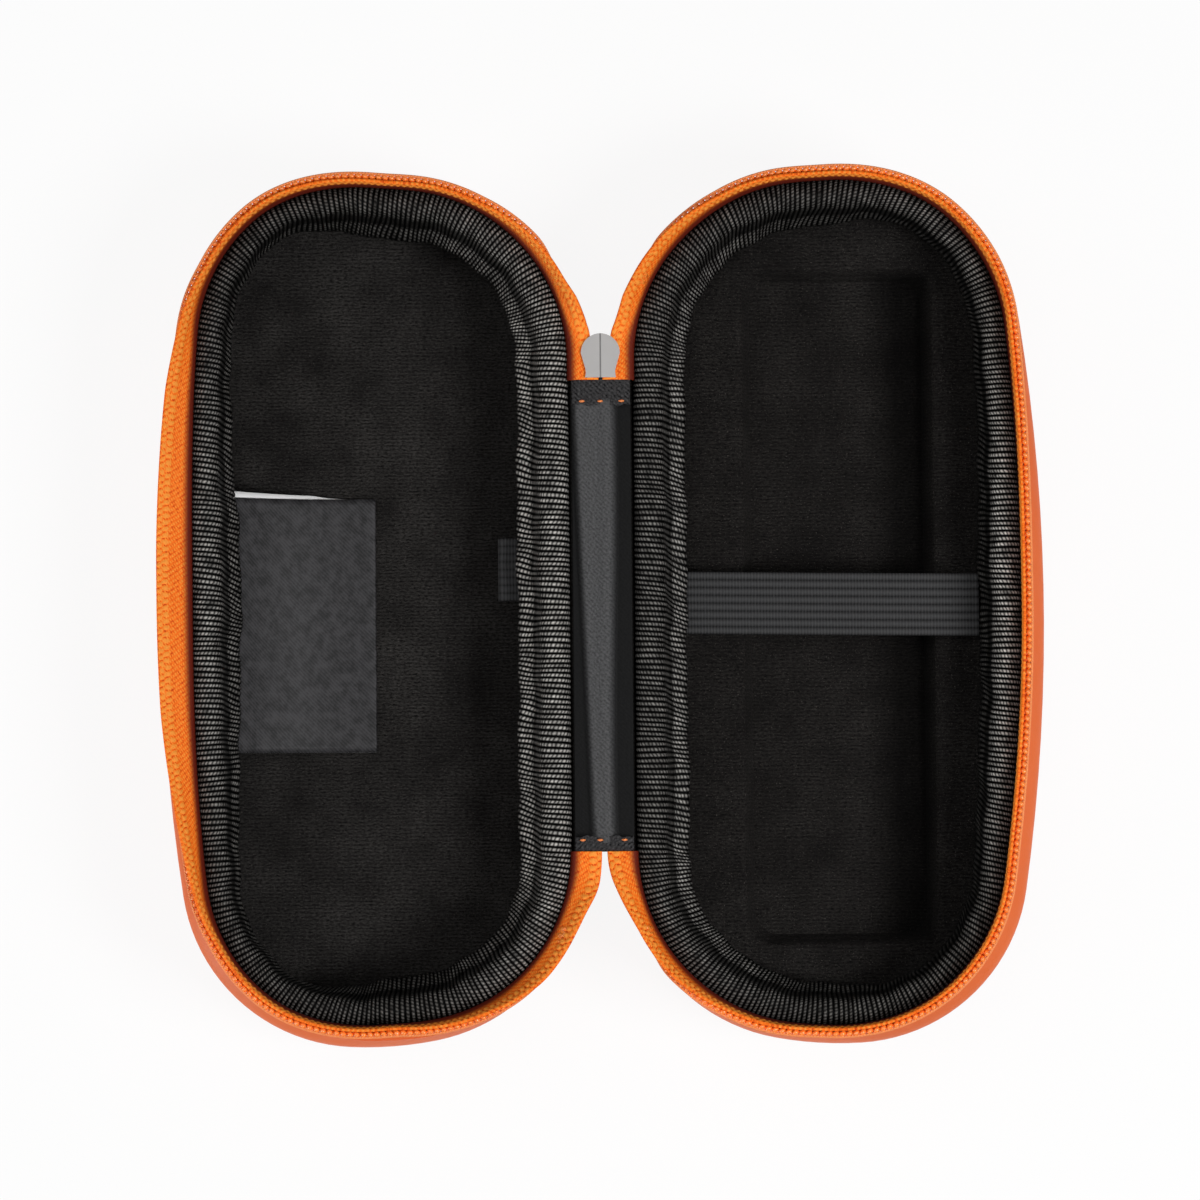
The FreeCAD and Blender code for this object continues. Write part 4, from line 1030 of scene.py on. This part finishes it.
# Fabric spine.
# A grey satin-faced strip joins the halves on the inside, with a black strip behind it on the outside.
# The satin is slack, so it lies in soft lengthwise folds, the highest right of the middle.

SPINE_ROWS = 120
SPINE_COLUMNS = 48
SATIN_WALL = 0.4
SATIN_TUCK = 1.0
SATIN_EDGE_DROP = 1.5
SATIN_SHADE = 0.92
SATIN_CREST = 0.6
SATIN_FOLD = 0.5
COVER_FOLD = 0.1
CREST_SPREAD = 1.2
EVEN_SWELL = 0.8
LONG_SWELL = 0.3
LONG_RUN = 23.0
LONG_START = 0.8
SHORT_SWELL = 0.15
SHORT_RUN = 4.3
SHORT_SLANT = 2.0
FOLD_WANDER = 0.4
WANDER_RUN = 17.0
FALL_START = 1.2
RIGHT_FALL = 1.8
LEFT_FALL = 1.6
SATIN_SHEEN = 0.05
SATIN_THREAD = 0.45
SATIN_THREAD_SHARE = 0.1
SATIN_FUZZ = 0.5
SATIN_DARK = "363637"
SATIN_FACE = "5C5C5D"
SPINE_SHADOW = "070707"
TAB_DARK = "070708"
TAB_FACE = "4E4D4E"


def spine_cloth(name, face, deep, sheen):
    """Polyester satin: fine slanting threads in two greys with a broad sheen, and painted shade in its
    falls.
    """
    material, add = new_material(name)
    place = add("UVMap", uv_map="weave")
    threads = add("TexWave", {"Vector": place, "Scale": wave_scale(SATIN_THREAD), "Distortion": 1.0},
                  bands_direction="DIAGONAL")
    fuzz = add("TexNoise", {
        "Vector": place, "Scale": per_metre(SATIN_FUZZ), "Detail": 4.0, "Roughness": 0.7})
    weave = add("Math", {0: threads, 1: SATIN_THREAD_SHARE, 2: fuzz}, operation="MULTIPLY_ADD")
    shade = add("MapRange", {"Value": weave, "From Min": 0.35, "From Max": 0.75})
    mixed = add("Mix", {"Factor": shade, 6: deep, 7: face})
    fall = add("Attribute", attribute_name="fall")
    shaded = add("Math", {0: fall, 1: SATIN_SHADE}, operation="MULTIPLY")
    toned = add("Mix", {"Factor": shaded, 6: mixed, 7: SPINE_SHADOW})
    return finished(material, {"Base Color": toned, "Roughness": 0.5, "Specular IOR Level": sheen},
                    weave, depth=0.1)


def strip(name, node, fold):
    """A band across X carried along Y. It falls by a smooth step to each edge, earlier on the left
    the further it runs towards -Y. Between is a bell-shaped crest, times a swell of two sines."""
    low, high = node_box(node)
    low[1] -= SATIN_TUCK
    high[1] += SATIN_TUCK
    x = np.linspace(low[0], high[0], SPINE_COLUMNS)
    y = np.linspace(low[1], high[1], SPINE_ROWS)[:, None]
    wander = FOLD_WANDER * np.sin(y / WANDER_RUN)
    crest = np.exp(-((x - SATIN_CREST - wander) / CREST_SPREAD) ** 2)
    long_swell = LONG_SWELL * np.sin(y / LONG_RUN + LONG_START)
    short_swell = SHORT_SWELL * np.sin(y / SHORT_RUN + x / SHORT_SLANT)
    swell = EVEN_SWELL + long_swell + short_swell
    left_edge = LEFT_FALL * (1 - y / high[1]) - high[0]
    right_fall = smooth_step(x - FALL_START - wander, 0, RIGHT_FALL)
    left_fall = smooth_step(left_edge + FALL_START - x, 0, LEFT_FALL)
    fall = np.maximum(right_fall, left_fall)
    z = (low[2] + high[2]) / 2 + fold * crest * swell - SATIN_EDGE_DROP * fall
    outline = band(as_points(x, z), SATIN_WALL)
    grid = as_points(outline[..., 0], y, outline[..., 1])
    weave = uv_grid(y[:, 0], there_and_back(x - x[0]))
    # The fall mark paints shade where the cloth falls to its edges.
    piece = surface(name, grid, weave, marks={"fall": np.append(fall, fall[:, ::-1], axis=1)})
    return piece


satin = spine_cloth("grey_satin", SATIN_FACE, SATIN_DARK, SATIN_SHEEN)
black_cloth = spine_cloth("black_spine_cloth", TAB_FACE, TAB_DARK, 0.0)
lining = strip("satin_spine_lining", "spine_lining", SATIN_FOLD)
outer_cloth = strip("spine_outer_cloth", "spine_cover", COVER_FOLD)
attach(fit(lining, satin, "satin", "spine_lining"), "spine")
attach(fit(outer_cloth, black_cloth, "grosgrain", "spine_cover"), "spine")


# Spine tabs and their stitches.
# A strip of black cloth is folded over each end of the spine and tacked with orange thread, of
# which three stitches show on each tab.

TAB_WALL = 0.45
TAB_COLUMNS = 40
TAB_TO_SLIDER = 0.3
TAB_OVERLAP = 0.4
TAB_BESIDE = 0.3
TAB_SETTLE = 0.5
SETTLE_FROM = 4.2
SETTLE_RUN = 1.5
BROAD_WANDER = 0.18
BROAD_PACE = 1.3
FINE_WANDER = 0.1
FINE_PACE = 3.1
STITCH_LENGTH = 1.0
STITCH_THICK = 0.5
STITCH_TAPER = 0.15
STITCH_ARCH = 0.25
STITCH_INWARD = 0.3
STITCH_POINTS = 9
STITCH_SIDES = 8
STITCH_PLACES = {"top": (-3.7, -0.1, 4.0), "bottom": (-4.2, -0.8, 3.9)}


def tab(end, sense):
    """A folded line in Y and Z as a band, carried across X. Its inner edge wanders by a broad and a
    fine sine, and both sides settle a little."""
    low, high = node_box("spine_tab_" + end)
    gap = high[2] - low[2] - TAB_WALL
    outer, inner = (high[1] + TAB_TO_SLIDER, low[1]) if sense > 0 else (low[1], high[1])
    fold_reach = (gap + TAB_WALL) / 2 * sense
    level = high[2] - TAB_WALL / 2
    line = folded_line((inner - sense * TAB_OVERLAP, level), (outer - fold_reach, level), gap)
    outline = band(line, TAB_WALL)
    x = np.linspace(low[0] - TAB_BESIDE, high[0] + TAB_BESIDE, TAB_COLUMNS)[:, None]
    settle = TAB_SETTLE * smooth_step(np.abs(x) - SETTLE_FROM, 0, SETTLE_RUN)
    wander = BROAD_WANDER * np.sin(x * BROAD_PACE + sense) + FINE_WANDER * np.sin(x * FINE_PACE)
    y = outline[:, 0] + wander * np.clip(np.abs(outline[:, 0] - outer) / (high[1] - low[1]), 0, 1)
    grid = as_points(x, y, outline[:, 1] - settle)
    weave = uv_grid(x[:, 0], there_and_back(run_length(line)))
    return surface("folded_spine_tab_" + end, grid, weave)


def stitch(name, x, y, z):
    """A thread that comes up and goes down again: a tube along a half sine, thinner at its ends."""
    share = np.linspace(0, 1, STITCH_POINTS)
    rise = STITCH_ARCH * np.sin(np.pi * share)
    centre = as_points(x + (share - 0.5) * STITCH_LENGTH, y, z + rise)
    thick = STITCH_THICK * np.sin(np.pi * (STITCH_TAPER + (1 - 2 * STITCH_TAPER) * share))
    return tube(name, centre, thick, UPWARDS, STITCH_SIDES)


for end, sense in (("top", 1), ("bottom", -1)):
    low, high = node_box("spine_tab_" + end)
    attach(fit(tab(end, sense), black_cloth, "grosgrain", "spine_tab_" + end), "spine")
    inner_edge = low[1] if sense > 0 else high[1]
    for number, place in enumerate(STITCH_PLACES[end], start=1):
        sewn = stitch(f"tab_stitch_{end}_{number}", place, inner_edge + STITCH_INWARD * sense, high[2])
        sewn.data.materials.append(thread)
        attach(sewn, "spine")


# Slider and pull tab.
# Cast in zinc and plated in a satin nickel: a pale warm grey with a soft, slightly streaked gloss.
# The slider sits on the two tapes at the end of the spine and its pull hangs beneath.

NICKEL_COLOUR = "A6A4A3"
CAST_GRAIN = 0.6
# Width and colour of the painted shade along the slider's middle ridge.
RIDGE_SHADE_WIDTH = 0.2
RIDGE_SHADE_COLOUR = "6A6968"
FACET_SLOPE = 0.45


def satin_nickel():
    """Plated zinc: a grained gloss on two facets that fall from X = 0, with a thin painted shade along the
    ridge between them.
    """
    material, add = new_material("satin_nickel_on_cast_zinc")
    place = add("TexCoord")
    grain = add("TexNoise", {"Vector": place, "Scale": per_metre(CAST_GRAIN), "Detail": 4.0})
    gloss = add("MapRange", {"Value": grain, "To Min": 0.34, "To Max": 0.5})
    across = add("SeparateXYZ", {"Vector": place})
    beside = add("Math", {0: across}, operation="ABSOLUTE")
    ridge = add("Bump", {"Height": beside, "Distance": FACET_SLOPE}, invert=True)
    bump = add("Bump", {"Height": grain, "Distance": 0.03 * MM, "Strength": 0.4, "Normal": ridge})
    # Painted shade along the ridge at X = 0.
    line = add("MapRange", {
        "Value": beside, "From Min": RIDGE_SHADE_WIDTH * MM / 2, "From Max": RIDGE_SHADE_WIDTH * MM})
    tone = add("Mix", {"Factor": line, 6: RIDGE_SHADE_COLOUR, 7: NICKEL_COLOUR})
    return finished(material, {"Base Color": tone, "Metallic": 0.4, "Roughness": gloss, "Normal": bump})


dress(satin_nickel(), "slider_body", "pull_tab")


# Floor, light and camera.
# A white paper floor, a large soft light from the right, weaker ones from the left, low from the near
# left and from above, and a camera that looks down from a little towards the near end.

FLOOR_HALF = 1500.0
FLOOR_DROP = 0.2
FLOOR_GLOW = 0.9
PAPER_COLOUR = "F4F4F4"
LIGHTS = {
    "right": ((500, -200, 660), 320, 5.0),
    "left": ((-560, 120, 520), 420, 0.9),
    "low": ((-560, -360, 90), 300, 2.2),
    "above": ((-120, 60, 900), 500, 1.6),
}
SKY = 0.07
CAMERA_AIM = (-0.8, 1.0, 25.0)
CAMERA_FAR = 850.0
CAMERA_TILT = 2.5
CAMERA_ROLL = -0.5
VIEW_WIDTH = 234.0
SENSOR = 36.0


def seen_rays(add):
    """1 for rays that look at a surface directly, in a mirror or through glass, and 0 for light."""
    rays = add("LightPath").node.outputs
    direct = add("Math", {0: rays["Is Camera Ray"], 1: rays["Is Glossy Ray"]}, operation="MAXIMUM")
    return add("Math", {0: direct, 1: rays["Is Transmission Ray"]}, operation="MAXIMUM")


def white_paper():
    """Matt white that takes shadows, mixed with a glow for the rays that see it."""
    material, add = new_material("white_paper_floor")
    paper = add("BsdfDiffuse", {"Color": PAPER_COLOUR})
    glow = add("Emission", {"Color": "FFFFFF", "Strength": 1.0})
    share = add("Math", {0: seen_rays(add), 1: FLOOR_GLOW}, operation="MULTIPLY")
    add("OutputMaterial", {"Surface": add("MixShader", {0: share, 1: paper, 2: glow})})
    return material


ends = np.array((-FLOOR_HALF, FLOOR_HALF))
floor = surface("paper_floor", as_points(ends[:, None], ends, -FLOOR_DROP), uv_grid(ends, ends),
                across_closed=False)
floor.data.materials.append(white_paper())

for name, (place, size, power) in LIGHTS.items():
    lamp = bpy.data.lights.new(name + "_softbox", "AREA")
    lamp.shape = "SQUARE"
    lamp.size = size * MM
    lamp.energy = power
    softbox = bpy.data.objects.new(name + "_softbox", lamp)
    softbox.location = np.array(place) * MM
    softbox.rotation_euler = (-softbox.location).to_track_quat("-Z", "Y").to_euler()
    bpy.context.scene.collection.objects.link(softbox)

world = bpy.data.worlds.new("white_studio")
bpy.context.scene.world = world
world.use_nodes = True
world.node_tree.nodes.clear()
add_sky = partial(add_node, world.node_tree)
sky = add_sky("MapRange", {"Value": seen_rays(add_sky), "To Min": SKY})
add_sky("OutputWorld", {"Surface": add_sky("Background", {"Strength": sky})})

camera = bpy.data.objects.new("camera", bpy.data.cameras.new("camera"))
camera.data.sensor_width = SENSOR
camera.data.lens = SENSOR * CAMERA_FAR / VIEW_WIDTH
tilt = math.radians(CAMERA_TILT)
away = np.array((0, -math.sin(tilt), math.cos(tilt)))
camera.location = (np.array(CAMERA_AIM) + CAMERA_FAR * away) * MM
camera.rotation_euler = (tilt, 0, math.radians(CAMERA_ROLL))
bpy.context.scene.collection.objects.link(camera)
bpy.context.scene.camera = camera
bpy.context.scene.view_settings.view_transform = "Standard"
